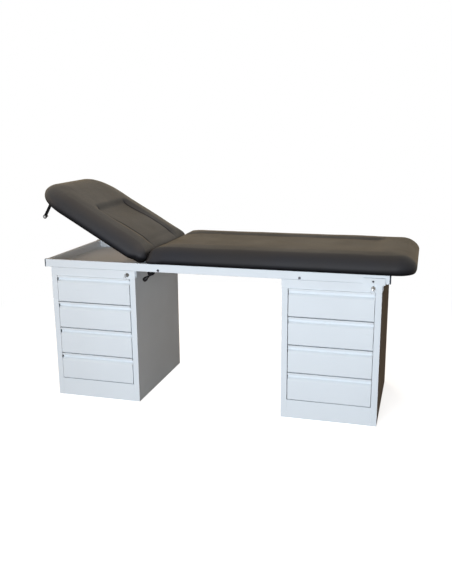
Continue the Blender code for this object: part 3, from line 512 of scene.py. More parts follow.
@dataclass(frozen=True)
class Upholstery(Finish):
    """PVC-coated upholstery cloth, embossed with a pebbled hide grain.

    The eye gets a nearly black surface that turns lighter where it is seen along its face, with the grain breaking
    the highlights, and slightly duller, browner places where people sit and lie. What faces up has a painted sheen,
    and what faces down and the creases have painted shade.
    """

    slot: str = VINYL
    name: str = "black_pvc_upholstery"
    colour: str = "282c37"
    worn: str = "302f2f"
    # Painted shade: what faces down and the creases are darkened towards this colour.
    under: str = "101114"
    pebble_mm: float = 2.4
    # The painted sheen's specular level rises from the first value to the second as the surface turns up from
    # dull_below.
    shine: tuple[float, float] = (0.01, 0.24)
    dull_below: float = -0.5

    def shade(self, nodes: Shader) -> Node:
        """Adds pebble grain, fine pores, worn places, painted sheen above and painted shade below and in creases.

        Args:
            nodes: The material's nodes.

        Returns:
            The surface.
        """
        # Real pebbles are about 1.2 mm across and are drawn twice as coarse, so that they show.
        tree, bend = nodes.tree, nodes.noise(5.0, detail=1.0, output="Color")
        warp = put(tree, "VectorMath", {"operation": "MULTIPLY_ADD"}, at0=bend, at1=(0.0016, 0.0016, 0.0016),
                   at2=nodes.place)
        pebble = put(tree, "TexVoronoi", {"feature": "DISTANCE_TO_EDGE"}, Vector=warp.outputs[0],
                     Scale=1.0 / (self.pebble_mm * MM)).outputs[0]
        dome = nodes.ranged(pebble, (0.0, 0.22), soft=True)
        height = nodes.math("MULTIPLY_ADD", nodes.noise(0.9, detail=2.0), 0.35, dome)
        wear = nodes.noise(240.0, detail=4.0)
        rough = nodes.ranged(wear, (0.3, 0.7), (0.44, 0.54))
        # Painted sheen: what faces up gets more specular. Painted shade: edges that face down are darkened.
        upright = put(tree, "SeparateXYZ", Vector=put(tree, "TexCoord").outputs["Normal"]).outputs[2]
        painted_top_sheen = nodes.ranged(upright, (self.dull_below, 0.9), self.shine, soft=True)
        light = nodes.ranged(upright, (-0.6, 0.2), soft=True)
        # Painted shade in the creases beside the recess darkens the colour and takes away specular and coat there.
        # Pieces without one read 0 here.
        crease_and_painted_shade = put(tree, "Attribute", {"attribute_name": "crease_and_painted_shade"}).outputs["Fac"]
        clear = nodes.math("SUBTRACT", 1.0, crease_and_painted_shade)
        colour = nodes.mixed(nodes.math("MULTIPLY", light, clear), self.under,
                             nodes.mixed(wear, self.colour, self.worn))
        # The coat's faint warm tint paints a warm cast into the reflections.
        return nodes.surface(Base_Color=colour, Roughness=rough, IOR=1.5,
                             Specular_IOR_Level=nodes.math("MULTIPLY", painted_top_sheen, clear), Coat_Weight=clear,
                             Coat_IOR=1.01, Coat_Roughness=0.5, Coat_Tint=srgb("fffbf4"),
                             Normal=nodes.bump(height, strength=0.22, distance=0.0004))


@dataclass(frozen=True)
class Plywood(Finish):
    """Birch plywood: pale veneer with long fine grain on its faces and thin plies along its edges."""

    slot: str = "plywood"
    name: str = "birch_plywood"
    pale: str = "c9a878"
    dark: str = "a5804f"
    ply_mm: float = 1.5
    grain_mm: float = 2.5
    turn: float = 0.0

    def shade(self, nodes: Shader) -> Node:
        """Adds veneer grain along the board and plies through it.

        Args:
            nodes: The material's nodes.

        Returns:
            The surface.
        """
        tree, fine = nodes.tree, 1.0 / (self.grain_mm * MM)
        flat = put(tree, "Mapping", Vector=nodes.place, Rotation=(0.0, -self.turn, 0.0)).outputs[0]
        long = put(tree, "Mapping", Vector=flat, Scale=(fine * 0.035, fine, fine * 0.1)).outputs[0]
        grain = put(tree, "TexNoise", Vector=long, Scale=1.0, Detail=5.0, Distortion=0.6).outputs[0]
        broad = put(tree, "TexNoise", Vector=long, Scale=0.12, Detail=2.0).outputs[0]
        bands = put(tree, "TexWave", {"bands_direction": "Z"}, Vector=flat,
                    Scale=1.0 / (20.0 * self.ply_mm * MM) * 3.1416).outputs[1]
        tone = nodes.math("MULTIPLY_ADD", bands, 0.28, nodes.math("MULTIPLY", grain, broad))
        colour = nodes.mixed(nodes.ranged(tone, (0.12, 0.62)), self.pale, self.dark)
        return nodes.surface(Base_Color=colour, Roughness=0.66,
                             Normal=nodes.bump(grain, strength=0.15, distance=0.0003))


@dataclass(frozen=True)
class Moulded(Finish):
    """Moulded plastic or black paint: a plain dark skin with a fine eroded texture and small scuffs."""

    slot: str = "black_coat"
    name: str = "black_epoxy_paint"
    colour: str = "0b0b0d"
    scuff: str = "1b1b1e"
    gloss: tuple[float, float] = (0.34, 0.5)
    texture_mm: float = 1.0
    relief: float = 0.12
    shine: float = 0.06

    def shade(self, nodes: Shader) -> Node:
        """Adds the fine texture and the scuffs.

        Args:
            nodes: The material's nodes.

        Returns:
            The surface.
        """
        fine = nodes.noise(self.texture_mm, detail=2.0)
        scuff = nodes.noise(7.0, detail=6.0, Roughness=0.7)
        colour = nodes.mixed(nodes.ranged(scuff, (0.52, 0.75)), self.colour, self.scuff)
        rough = nodes.ranged(scuff, (0.3, 0.7), self.gloss)
        return nodes.surface(Base_Color=colour, Roughness=rough, Specular_IOR_Level=self.shine,
                             Normal=nodes.bump(fine, strength=self.relief, distance=0.0002))


class Palette:
    """All finishes of the couch, with one material each."""

    def __init__(self) -> None:
        """Makes the materials of every slot in the record."""
        finishes = [
            PowderCoat(),
            ZincSheet(),
            DrawnMetal(),
            DrawnMetal("chrome", "aged_nickel_plate", "77726b", "4f4b46", (0.2, 0.36)),
            Upholstery(),
            Plywood(),
            Moulded(),
            Moulded("gloss_black_plastic", "black_phenolic_resin", "060607", "101012", (0.2, 0.34), 3.0, 0.03, 0.12),
            Moulded("dark_grey_plastic", "dark_grey_polyethylene", "3a4049", "4a505a", (0.45, 0.6), 1.2, 0.1),
        ]
        self.made = {finish.slot: finish.material() for finish in finishes}

    def of(self, slot: str) -> Material:
        """The material of a slot in the record."""
        return self.made[slot]

    def add(self, name: str, form: Form, body: str, slot: str, node: str = "", sharp: float = 40.0) -> Piece:
        """Makes a piece of a slot's material and lets it ride.

        Args:
            name: The piece's name.
            form: Its points and faces.
            body: The body that carries it.
            slot: The record's material slot.
            node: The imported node, if it stands for one.
            sharp: Edges that turn by more than this many degrees stay sharp.

        Returns:
            The piece.
        """
        piece = make_piece(name, *form, self.of(slot), sharp)
        carry(piece, body, node)
        return piece


# Stage

class Unlit(Enum):
    """Rays that see the plain white background instead of the light that falls on the object."""

    CAMERA = "Is Camera Ray"
    GLOSSY = "Is Glossy Ray"
    TRANSMISSION = "Is Transmission Ray"


@dataclass(frozen=True)
class Lamp:
    """A square soft lamp: its centre, the point that it faces, its side in metres and its power in watts."""

    name: str
    place: Point
    aim: Point
    size: float
    power: float
    tint: str
    mirrored: bool = True


LAMPS = (
    Lamp("key_softbox", (1.15, -3.7, 0.90), (0.95, 0.2, 0.40), 1.7, 141.0, "eef6ff"),
    Lamp("overhead_softbox", (0.6, 0.4, 3.4), (0.75, 0.3, 0.6), 2.4, 10.0, "ffd9ac"),
    Lamp("fill_softbox", (-2.0, -0.9, 1.55), (0.2, 0.3, 0.70), 1.2, 11.0, "ffdcb4"),
    Lamp("rear_softbox", (-0.4, 3.9, 1.55), (0.6, 0.6, 0.50), 1.8, 55.0, "fff1e0", mirrored=False),
)


@dataclass
class Studio:
    """Camera, lamps, white surroundings and pale floor.

    Places are in the cabinet's axes: x right, y away and z up from the left cabinet's front left foot.
    """

    corner: Vector
    eye: Point = (1.8348, -3.1554, 1.4138)
    yaw: float = -0.2796
    pitch: float = 0.2396
    roll: float = 0.0089
    focal_pixels: float = 705.4749
    sensor_mm: float = 36.0
    ambient: str = "ffdcb4"
    ambient_strength: float = 0.10
    floor_tone: str = "7d6c58"
    floor_glow: float = 0.8
    floor_fade: tuple[float, float] = (1.2, 2.6)
    floor_half: float = 40.0

    def build(self) -> None:
        """Sets the view, the lamps, the world and the floor."""
        bpy.context.scene.view_settings.view_transform = "Standard"
        self.camera()
        for lamp in LAMPS:
            self.light(lamp)
        self.world()
        self.floor()

    def camera(self) -> None:
        """Places the camera by its turn about the upright, its tilt and its roll."""
        right = np.array([math.cos(self.yaw), -math.sin(self.yaw), 0.0])
        level = math.cos(self.pitch)
        ahead = np.array([math.sin(self.yaw) * level, math.cos(self.yaw) * level, -math.sin(self.pitch)])
        down = np.cross(ahead, right)
        c, s = math.cos(self.roll), math.sin(self.roll)
        columns = (c * right + s * down, s * right - c * down, -ahead)
        data = bpy.data.cameras.new("camera")
        data.sensor_fit = "AUTO"
        data.sensor_width = self.sensor_mm
        data.lens = self.focal_pixels * self.sensor_mm / IMAGE_HEIGHT
        camera = bpy.data.objects.new("camera", data)
        place = Matrix.Translation(self.corner + Vector(self.eye))
        camera.matrix_world = place @ Matrix(np.array(columns).T.tolist()).to_4x4()
        bpy.context.scene.collection.objects.link(camera)
        bpy.context.scene.camera = camera

    def light(self, lamp: Lamp) -> None:
        """Adds a lamp, which reflections show only if it is mirrored.

        Args:
            lamp: The lamp, in the cabinet's axes.
        """
        data = bpy.data.lights.new(lamp.name, "AREA")
        data.size, data.energy, data.color = lamp.size, lamp.power, srgb(lamp.tint)[:3]
        made = bpy.data.objects.new(lamp.name, data)
        made.visible_glossy = lamp.mirrored
        turn = (Vector(lamp.aim) - Vector(lamp.place)).to_track_quat("-Z", "Y").to_matrix().to_4x4()
        made.matrix_world = Matrix.Translation(self.corner + Vector(lamp.place)) @ turn
        bpy.context.scene.collection.objects.link(made)

    def seen_white(self, tree: Tree) -> Socket:
        """A factor that is 1 for the rays that see the white background.

        Args:
            tree: The node tree of the world or of the floor.

        Returns:
            The factor's socket.
        """
        path = put(tree, "LightPath").outputs
        total = path[Unlit.CAMERA.value]
        for ray in (Unlit.GLOSSY, Unlit.TRANSMISSION):
            total = put(tree, "Math", {"operation": "MAXIMUM"}, at0=total, at1=path[ray.value]).outputs[0]
        return total

    def world(self) -> None:
        """White for the rays that see it, and a low, warm ambient light on the object."""
        world = bpy.data.worlds.new("studio")
        tree = cleared(world)
        soft = put(tree, "Background", Color=srgb(self.ambient), Strength=self.ambient_strength)
        white = put(tree, "Background", Color=srgb("ffffff"), Strength=1.0)
        both = put(tree, "MixShader", at0=self.seen_white(tree), at1=soft.outputs[0], at2=white.outputs[0])
        put(tree, "OutputWorld", Surface=both.outputs[0])
        bpy.context.scene.world = world

    def floor(self) -> None:
        """A pale floor that shows the couch's soft shadow and fades to plain white away from it."""
        material = bpy.data.materials.new("studio_floor")
        tree = cleared(material)
        place = put(tree, "TexCoord").outputs["Object"]
        reach = put(tree, "VectorMath", {"operation": "LENGTH"}, at0=place).outputs["Value"]
        plain = Shader(tree, place).ranged(reach, self.floor_fade, soft=True)
        pale = put(tree, "BsdfDiffuse", Color=srgb("fdfdfd"))
        base, white = (put(tree, "Emission", Color=srgb("ffffff"), Strength=s) for s in (self.floor_glow, 1.0))
        shadow = put(tree, "AddShader", at0=pale.outputs[0], at1=base.outputs[0])
        seen = put(tree, "MixShader", at0=plain, at1=shadow.outputs[0], at2=white.outputs[0])
        lit = put(tree, "BsdfDiffuse", Color=srgb(self.floor_tone))
        both = put(tree, "MixShader", at0=self.seen_white(tree), at1=lit.outputs[0], at2=seen.outputs[0])
        put(tree, "OutputMaterial", Surface=both.outputs[0])
        points = np.array([(-1.0, -1.0, 0.0), (1.0, -1.0, 0.0), (1.0, 1.0, 0.0), (-1.0, 1.0, 0.0)]) * self.floor_half
        make_piece("studio_floor", points, [[0, 1, 2, 3]], material)


# Upholstery

SEAM_LINES = np.array([-11.0, -7.0, -4.5, -3.0, -1.8, -0.8, 0.0, 0.8, 1.8, 3.0, 4.5, 7.0, 11.0]) * MM
CLOTH = {"quality": 6, "mass": 0.5, "tension_stiffness": 20.0, "compression_stiffness": 20.0,
         "shear_stiffness": 10.0, "bending_stiffness": 4.0, "use_pressure": True, "uniform_pressure_force": 4.0,
         "vertex_group_mass": "held"}
CLOTH_GRID = (84, 56)
CLOTH_FRAMES = 20
EVENING_PASSES = 8


@dataclass
class Pad:
    """A pad of vinyl over foam on a plywood board.

    In its own axes u runs from the hinge end, v across from the middle and w up from the pad's middle height.
    """

    name: str
    node: str
    body: str
    hinge: Vector
    length: float
    recess_end: float
    corner: float
    far_edge: float
    far_drop: float
    end_low_edge: float
    end_drop: float
    start: float = 0.0
    tuck: float = 0.0
    way: int = 1
    turn: float = 0.0
    board_start: float = 0.042
    turn_in_start: float = 0.060
    width: float = 0.648
    half: float = 0.041
    end_corner: float = 0.034
    end_edge: float = 0.058
    top_edge: float = 0.067
    low_edge: float = 0.013
    rim_drop: float = 0.0175
    least_corner: float = 0.004
    far_zone: float = 0.200
    hinge_zone: float = 0.05
    tuck_zone: float = 0.07
    crown: float = 0.004
    crown_reach: float = 0.12
    recess_depth: float = 0.007
    recess_end_depth: float = 0.017
    recess_half: float = 0.180
    deepens: tuple[float, float] = (0.20, 0.16)
    slope: float = 0.046
    crease_shift: float = 0.002
    end_slope: float = 0.019
    board_thick: float = 0.012
    board_inset: float = 0.030
    pocket_over: float = 0.02
    crease_depth: float = 0.0012
    crease_width: float = 0.0060
    uneven: tuple = ((0.0007, 0.26, 3), (0.0002, 0.07, 5))
    uneven_reach: float = 0.05
    grid_step: float = 0.0075
    round_points: int = 15
    round_gaps: tuple[float, float] = (0.006, 0.003)
    seam_room: float = 0.014
    straight_half: float = 0.1
    swell_cap: float = 0.004
    turn_in: tuple[float, float] = (0.020, 0.054)
    turn_in_thick: float = 0.00028
    turn_in_step: float = 0.006
    turn_in_wander: tuple = ((0.0022, 61.0, 0.0), (0.0013, 149.0, 1.0))
    cover_gap: float = 0.00004
    staple: Point = (0.0105, 0.0012, 0.0002)
    staple_inset: float = 0.043
    staple_step: float = 0.036
    staple_gap: float = 0.00003
    staple_skew: float = 0.22
    slots: list = field(default_factory=list)
    finish: Finish = Upholstery()

    @property
    def crease_half(self) -> float:
        """Half the width between the creases, which run along the foot of the recess's slopes."""
        return self.recess_half - 0.5 * self.slope + self.crease_shift

    def placed(self, u: Array, v: Array, w: Array) -> Array:
        """Takes points from the pad's axes to the couch's.

        Args:
            u: Distance from the hinge end.
            v: Distance across from the middle.
            w: Height above the pad's middle.

        Returns:
            Points in rows, turned about the hinge.
        """
        x = self.start + self.way * u
        c, s = math.cos(self.turn), math.sin(self.turn)
        return np.stack([x * c + w * s + self.hinge.x, v + self.hinge.y, w * c - x * s + self.hinge.z], -1)

    def outward(self, faces: list, below: bool = False) -> list:
        """Orders the corners of faces so that they face outwards, whichever way the pad runs.

        Args:
            faces: Faces in the order of grid_faces for the top, or of a form or a grid below.
            below: Whether they belong to the bottom or to a form of their own.

        Returns:
            The faces, turned round where they have to be.
        """
        return [face[::-1] for face in faces] if (self.way > 0) != below else faces

    def inside(self, u: Array, v: Array) -> Array:
        """How far points lie inside the pad's outline: a corner's radius less the distance from its centre.

        Args:
            u: Distance from the hinge end.
            v: Distance across.

        Returns:
            The distance, negative outside.
        """
        reach = self.length / 2
        radius = np.where(u < reach, self.end_corner, self.corner)
        du = np.abs(u - reach) - (reach - radius)
        dv = np.abs(v) - (self.width / 2 - radius)
        outside = np.hypot(np.maximum(du, 0.0), np.maximum(dv, 0.0))
        return radius - outside - np.minimum(np.maximum(du, dv), 0.0)

    def marks(self) -> tuple[Array, Array]:
        """Grid lines along and across the pad: even in angle on the rounds, close beside the creases.

        Returns:
            Places along u, and places across v as if the pad had no round corners.
        """
        bow = 1.0 - np.cos(np.linspace(0.0, math.pi / 2, self.round_points))
        near, high = self.end_edge * bow, self.top_edge * bow
        last = self.top_edge + self.round_gaps[1]
        middle = np.arange(self.end_edge + self.round_gaps[0], self.length - last, self.grid_step)
        us = np.sort(np.concatenate([near, middle, self.length - high]))
        half = self.width / 2
        across = np.arange(0.0, half - last, self.grid_step)
        across = across[np.abs(across - self.crease_half) > self.seam_room]
        side = np.sort(np.concatenate([across[across > 0.0], self.crease_half + SEAM_LINES, half - high]))
        return us, np.concatenate([-side[::-1], [0.0], side])

    def waves(self, u: Array, v: Array, size: float, seed: int) -> Array:
        """Gentle unevenness of hand-stretched cover: a sum of eight sine waves of chosen directions.

        Args:
            u: Distance from the hinge end.
            v: Distance across.
            size: Typical wave length in metres.
            seed: Picks the directions.

        Returns:
            Heights between about -1 and 1.
        """
        pick = np.random.default_rng(seed)
        turns = pick.uniform(0.0, FULL_TURN, (8, 2))
        lengths = size * pick.uniform(0.6, 1.6, 8)
        total = np.zeros_like(u)
        for (turn, phase), length in zip(turns, lengths):
            total += np.sin(FULL_TURN / length * (u * math.cos(turn) + v * math.sin(turn)) + phase)
        return total / 4.0

    def recess_span(self, u: Array) -> Array:
        """Where the recess runs along the pad: 1 between soft ends at the hinge and at its far end."""
        along = 1.0 - smooth((u - self.recess_end + self.end_slope) / (2 * self.end_slope))
        return along * smooth(u / (2 * self.half))

    def crease_and_painted_shade(self, u: Array, v: Array) -> Array:
        """How near a point is to the creases by the recess: a bell curve from 0 to 1, for depth and painted shade."""
        bell = np.exp(-(((np.abs(v) - self.crease_half) / self.crease_width) ** 2))
        return bell * self.recess_span(u)

    def heights(self, u: Array, v: Array, rim: Array) -> tuple[Array, Array]:
        """Top and bottom of the pad over its plan.

        Both leave the rim's own height as quarter rounds, √(1 − (1 − t)²), with t the distance inside the rim
        over the edge's reach. Rim height and reach change softly towards both ends. The top adds a crown, less
        a recess with soft slopes that is deepest near its far end, less a crease along both sides of the
        recess, plus slight unevenness.

        Args:
            u: Distance from the hinge end.
            v: Distance across.
            rim: Which points lie on the outline.

        Returns:
            The top's and the bottom's heights.
        """
        inside = np.where(rim, 0.0, np.maximum(self.inside(u, v), 0.0))
        hinge = 1.0 - smooth((u - self.half) / self.hinge_zone)
        far = smooth((u - self.length + self.far_zone) / self.far_zone)

        def blend(usual: float, at_far: float, at_hinge: float) -> Array:
            """A value that changes softly towards both ends."""
            value = usual + (at_far - usual) * far
            return value + (at_hinge - value) * hinge

        def quarter(reach: Array) -> Array:
            """A quarter round from the rim."""
            part = np.clip(inside / reach, 0.0, 1.0)
            return np.sqrt(np.clip(1.0 - (1.0 - part) ** 2, 0.0, 1.0))

        middle = -blend(self.rim_drop, self.far_drop, self.end_drop)
        rise = quarter(blend(self.top_edge, self.far_edge, self.end_edge))
        fall = quarter(blend(self.low_edge, self.low_edge, self.end_low_edge))
        crown = self.crown * smooth(inside / self.crown_reach) * (1.0 - hinge)
        beside = 1.0 - smooth((np.abs(v) - self.recess_half + self.slope / 2) / self.slope)
        deep = smooth((u - self.recess_end + self.deepens[0]) / self.deepens[1])
        depth = self.recess_depth + (self.recess_end_depth - self.recess_depth) * deep
        recess = depth * beside * self.recess_span(u)
        crease = self.crease_depth * self.crease_and_painted_shade(u, v)
        soft = sum(height * self.waves(u, v, size, seed) for height, size, seed in self.uneven)
        top = self.half + crown - recess - crease + soft * smooth(inside / self.uneven_reach)
        return middle + (top - middle) * rise, middle - (self.half + middle) * fall

    def tucked(self, u: Array, w: Array) -> Array:
        """How far the hinge end reaches under the other pad's round end, which it follows below the middle.

        Args:
            u: Distance from the hinge end.
            w: Height above the pad's middle.

        Returns:
            The shift towards the hinge, r − √(r² − w²) up to a limit, which fades out along the pad.
        """
        deep = np.clip(-w, 0.0, self.half)
        follow = self.half - np.sqrt(self.half**2 - deep**2)
        return np.minimum(follow, self.tuck) * (1.0 - smooth(u / self.tuck_zone))

    def swelling(self, upper: Array, rim: Array, material: Material) -> Array:
        """How the stretched cover swells over its foam, as cloth under pressure, held at the rim.

        The cloth is a coarser grid of the same surface. What it moved is capped, evened out and spread
        between its points.

        Args:
            upper: The top's points by row and column.
            rim: Which points are held.
            material: The upholstery.

        Returns:
            The change of each point.
        """
        picks = [np.unique(np.linspace(0, count - 1, min(count, most)).round().astype(int))
                 for count, most in zip(rim.shape, CLOTH_GRID)]
        rest = upper[np.ix_(*picks)]
        quads = self.outward(grid_faces(*rest.shape[:2]).tolist())
        trial = make_piece("trial_cover", rest, quads, material)
        group = trial.vertex_groups.new(name="held")
        group.add(np.flatnonzero(rim[np.ix_(*picks)]).tolist(), 1.0, "REPLACE")
        cloth = trial.modifiers.new("cloth", "CLOTH")
        for key, value in CLOTH.items():
            setattr(cloth.settings, key, value)
        cloth.settings.effector_weights.gravity = 0.0
        cloth.collision_settings.use_collision = False
        scene = bpy.context.scene
        for number in range(1, CLOTH_FRAMES + 1):
            scene.frame_set(number)
        mesh = trial.evaluated_get(bpy.context.evaluated_depsgraph_get()).to_mesh()
        moved = np.empty(rest.size)
        mesh.vertices.foreach_get("co", moved)
        change = moved.reshape(rest.shape) - rest
        scene.frame_set(1)
        bpy.data.objects.remove(trial)
        size = np.linalg.norm(change, axis=-1, keepdims=True)
        LOG.info("%s: cover swells by up to %.1f mm before its cap", self.name, float(size.max()) / MM)
        change = change * np.minimum(1.0, self.swell_cap / np.maximum(size, 1e-9))
        for _ in range(EVENING_PASSES):
            for lines in (change, change.swapaxes(0, 1)):
                lines[1:-1] = 0.25 * lines[:-2] + 0.5 * lines[1:-1] + 0.25 * lines[2:]
        wide = stretched(change.swapaxes(0, 1), picks[1], rim.shape[1]).swapaxes(0, 1)
        return stretched(wide, picks[0], rim.shape[0])

    def cushion(self, material: Material) -> Piece:
        """Builds the closed pad: one grid for its top and one for its bottom, joined along the rim.

        Args:
            material: The upholstery.

        Returns:
            The pad, with room cut for its board and its hinges.
        """
        us, across = self.marks()
        half, inner = self.width / 2, self.straight_half
        radius = np.where(us < self.length / 2, self.end_corner, self.corner)
        bite = np.clip(radius - np.minimum(us, self.length - us), 0.0, None)
        wide = half - radius + np.sqrt(np.clip(radius**2 - bite**2, 0.0, None))
        size = np.abs(across)[None, :]
        pull = inner + (size - inner) * (wide[:, None] - inner) / (half - inner)
        v = np.sign(across)[None, :] * np.where(size > inner, pull, size)
        u = np.broadcast_to(us[:, None], v.shape)
        rim = np.ones(v.shape, bool)
        rim[1:-1, 1:-1] = False
        upper, lower = (self.placed(u - self.tucked(u, w), v, w) for w in self.heights(u, v, rim))
        upper = upper + self.swelling(upper, rim, material)
        free = ~rim.ravel()
        under = np.where(free, v.size + np.cumsum(free) - 1, np.arange(v.size))
        quads = grid_faces(*v.shape)
        faces = self.outward(quads.tolist()) + self.outward(under[quads].tolist(), below=True)
        points = np.vstack([upper.reshape(-1, 3), lower.reshape(-1, 3)[free]])
        piece = make_piece(self.name, points, faces, material, 180.0)
        # The top's points carry the creases' painted shade for the material.
        line = np.zeros(len(points))
        line[:v.size] = self.crease_and_painted_shade(u, v).ravel()
        piece.data.attributes.new("crease_and_painted_shade", "FLOAT", "POINT").data.foreach_set("value", line)
        # Room for the board and for the hinges.
        board = self.plan(self.board_inset, self.board_start, 13)
        forms = [prism(board, -self.half - self.pocket_over, -self.half + self.board_thick)]
        for form, sides in forms + [block(low, high) for low, high in self.slots]:
            carve(piece, self.placed(*form.T), self.outward(sides, below=True))
        return piece

    def plan(self, inset: float, start: float, count: int) -> Array:
        """An outline inside the pad's own: square at the hinge end, with round corners at the other.

        Args:
            inset: Distance inside the pad's outline.
            start: Where it begins along u.
            count: Points on each corner.

        Returns:
            Rows of u and v, up one side, round the far end and back.
        """
        half, end = self.width / 2 - inset, self.length - inset
        radius = max(self.corner - inset, self.least_corner)
        turn = np.linspace(-math.pi / 2, 0.0, count)
        u = np.concatenate([[start], end - radius + radius * np.cos(turn)])
        v = np.concatenate([[-half], -half + radius + radius * np.sin(turn)])
        return np.column_stack([np.concatenate([u, u[::-1]]), np.concatenate([v, -v[::-1]])])

    def edge_path(self, inset: float, step: float) -> Array:
        """Places along both sides and round the far end, at one distance inside the outline and evenly spaced.

        Args:
            inset: Distance inside the pad's outline.
            step: About how far apart the places are.

        Returns:
            Rows of u, v and the direction of travel's two parts.
        """
        line = self.plan(inset, self.turn_in_start, 41)
        run = np.concatenate([[0.0], np.cumsum(np.linalg.norm(np.diff(line, axis=0), axis=1))])
        places = np.linspace(0.0, run[-1], int(round(run[-1] / step)) + 1)
        spots = np.column_stack([np.interp(places, run, line[:, k]) for k in range(2)])
        return np.column_stack([spots, unit(np.gradient(spots, axis=0))])

    def cover_hem(self, material: Material) -> Piece:
        """The cover's cut edge, turned in under the board: a thin flat band whose inner edge is cut by hand.

        A four-cornered section is carried along the pad's edge. Its inner side wanders by sine waves.

        Args:
            material: The upholstery.

        Returns:
            The band.
        """
        outer, inner = (self.edge_path(inset, self.turn_in_step) for inset in self.turn_in)
        share, known = (np.linspace(0.0, 1.0, len(path)) for path in (outer, inner))
        inner = np.column_stack([np.interp(share, known, column) for column in inner.T])
        wander = sum(size * np.sin(rate * share + phase) for size, rate, phase in self.turn_in_wander)
        cut = inner[:, :2] + wander[:, None] * np.column_stack([-inner[:, 3], inner[:, 2]])
        high, low = -self.half - self.cover_gap, -self.half - self.turn_in_thick
        corners = [(outer, high), (cut, high), (cut, low), (outer, low)]
        rings = [self.placed(spot[:, 0], spot[:, 1], np.full(len(spot), w)) for spot, w in corners]
        points, faces = capped(np.stack(rings, 1))
        return make_piece(self.name.replace("cushion", "cover_hem"), points, self.outward(faces), material, 40.0)

    def staples(self, material: Material) -> Piece:
        """Flat wire staples through the turned-in cover: one small box each, a little askew.

        Args:
            material: The staples' metal.

        Returns:
            All staples of the pad in one mesh.
        """
        path = self.edge_path(self.staple_inset, self.staple_step)[1:-1]
        pick = np.random.default_rng(11)
        turn = np.arctan2(path[:, 3], path[:, 2]) + pick.normal(0.0, self.staple_skew, len(path))
        along = np.column_stack([np.cos(turn), np.sin(turn)])
        across = np.column_stack([-along[:, 1], along[:, 0]])
        long, wide, thick = self.staple
        points, faces = block((-long / 2, -wide / 2, 0.0), (long / 2, wide / 2, thick))
        spot = path[:, None, :2] + points[None, :, :1] * along[:, None] + points[None, :, 1:2] * across[:, None]
        top = -self.half - self.turn_in_thick - self.staple_gap
        w = np.broadcast_to(top - thick + points[None, :, 2], spot.shape[:2])
        placed = self.placed(spot[..., 0].ravel(), spot[..., 1].ravel(), w.ravel())
        numbers = (8 * np.arange(len(path)))[:, None, None] + np.array(faces)[None]
        faces = self.outward(numbers.reshape(-1, 4).tolist(), below=True)
        return make_piece(self.name.replace("cushion", "staples"), placed, faces, material, 40.0)


# Cabinets and fittings

@dataclass
class DrawerFronts:
    """Drawer fronts of bent sheet that sit nearly flush, with a dark gap all round, in the cabinet's axes.

    Each has a plain face, a sloped shoulder up to a finger groove, and a lip above the groove.
    """

    palette: Palette
    corner: Vector
    cabinet_width: float = 0.460
    cabinet_pitch: float = 1.200
    stile: float = 0.029
    first: float = 0.093
    pitch: float = 0.13875
    count: int = 4
    gap: float = 0.005
    lift: float = 0.0045
    side_gaps: tuple[float, float] = (0.0040, 0.0022)
    proud: float = 0.004
    inner: float = 0.014
    sheet: float = 0.0015
    lip: float = 0.009
    groove: float = 0.013
    shoulder: float = 0.017
    groove_depth: float = 0.0125
    lip_slope: float = 0.003
    end_play: float = 0.0002
    end_cut: float = 0.001

    @property
    def foot(self) -> float:
        """The height at which the shoulder begins."""
        return self.pitch - self.gap - self.lip - self.groove - self.shoulder

    def section(self) -> Array:
        """The front's outer line from its lower return to its upper one.

        Returns:
            Rows of y and z.
        """
        high, face, depth, foot = self.pitch - self.gap, -self.proud, self.groove_depth, self.foot
        lip = high - self.lip
        return np.array([
            (self.inner, 0.0),
            (face, 0.0),
            (face, foot),
            (face + 0.10 * depth, foot + 0.30 * self.shoulder),
            (face + 0.36 * depth, foot + 0.62 * self.shoulder),
            (face + depth, lip - self.groove),
            (face + depth, lip - self.lip_slope),
            (face, lip),
            (face, high),
            (self.inner, high),
        ])

    def front(self, left: float, level: int) -> Form:
        """One front: the bent sheet carried across, and a plate that closes each end below the groove.

        Args:
            left: The cabinet's left side.
            level: The drawer's place from below.

        Returns:
            Its points and faces.
        """
        x0 = left + self.stile + self.side_gaps[0]
        x1 = left + self.cabinet_width - self.stile - self.side_gaps[1]
        bottom = self.first + level * self.pitch + self.lift
        points, faces = prism(bent(self.section(), self.sheet), x0, x1)
        forms = [(points[:, [2, 0, 1]] + [0.0, 0.0, bottom], faces)]
        for x in (x0 + self.end_play, x1 - self.end_play - self.sheet):
            low = (x, -self.proud + self.sheet / 2, bottom + self.sheet / 2)
            forms.append(block(low, (x + self.sheet, self.inner, bottom + self.foot - self.end_cut)))
        points, faces = merged(forms)
        return points + np.array(self.corner), faces

    def build(self) -> None:
        """Builds the fronts of both cabinets."""
        for side, left in (("left", 0.0), ("right", self.cabinet_pitch)):
            for level in range(self.count):
                drawer = f"{side}_drawer_{self.count - level}"
                self.palette.add(f"{drawer}_panel", self.front(left, level), drawer, WHITE_COAT, f"{drawer}_front")


HUB_OUTLINE = np.array([(0.011, 0.0055), (-0.022, 0.0055), (-0.0255, 0.0015), (-0.0245, -0.006), (-0.0200, -0.0140),
                        (-0.0163, -0.0185), (-0.0115, -0.0150), (0.003, -0.0115), (0.011, -0.0045)])
STRIP_LINE = np.array([(-0.0097, 0.6960), (-0.0097, 0.6903), (0.0120, 0.6903)])
PIN_PROFILE = np.array([(0.0, 0.0046), (0.0008, 0.0057), (0.0014, 0.0060), (0.0265, 0.0060), (0.0280, 0.0055),
                        (0.0285, 0.0042)])


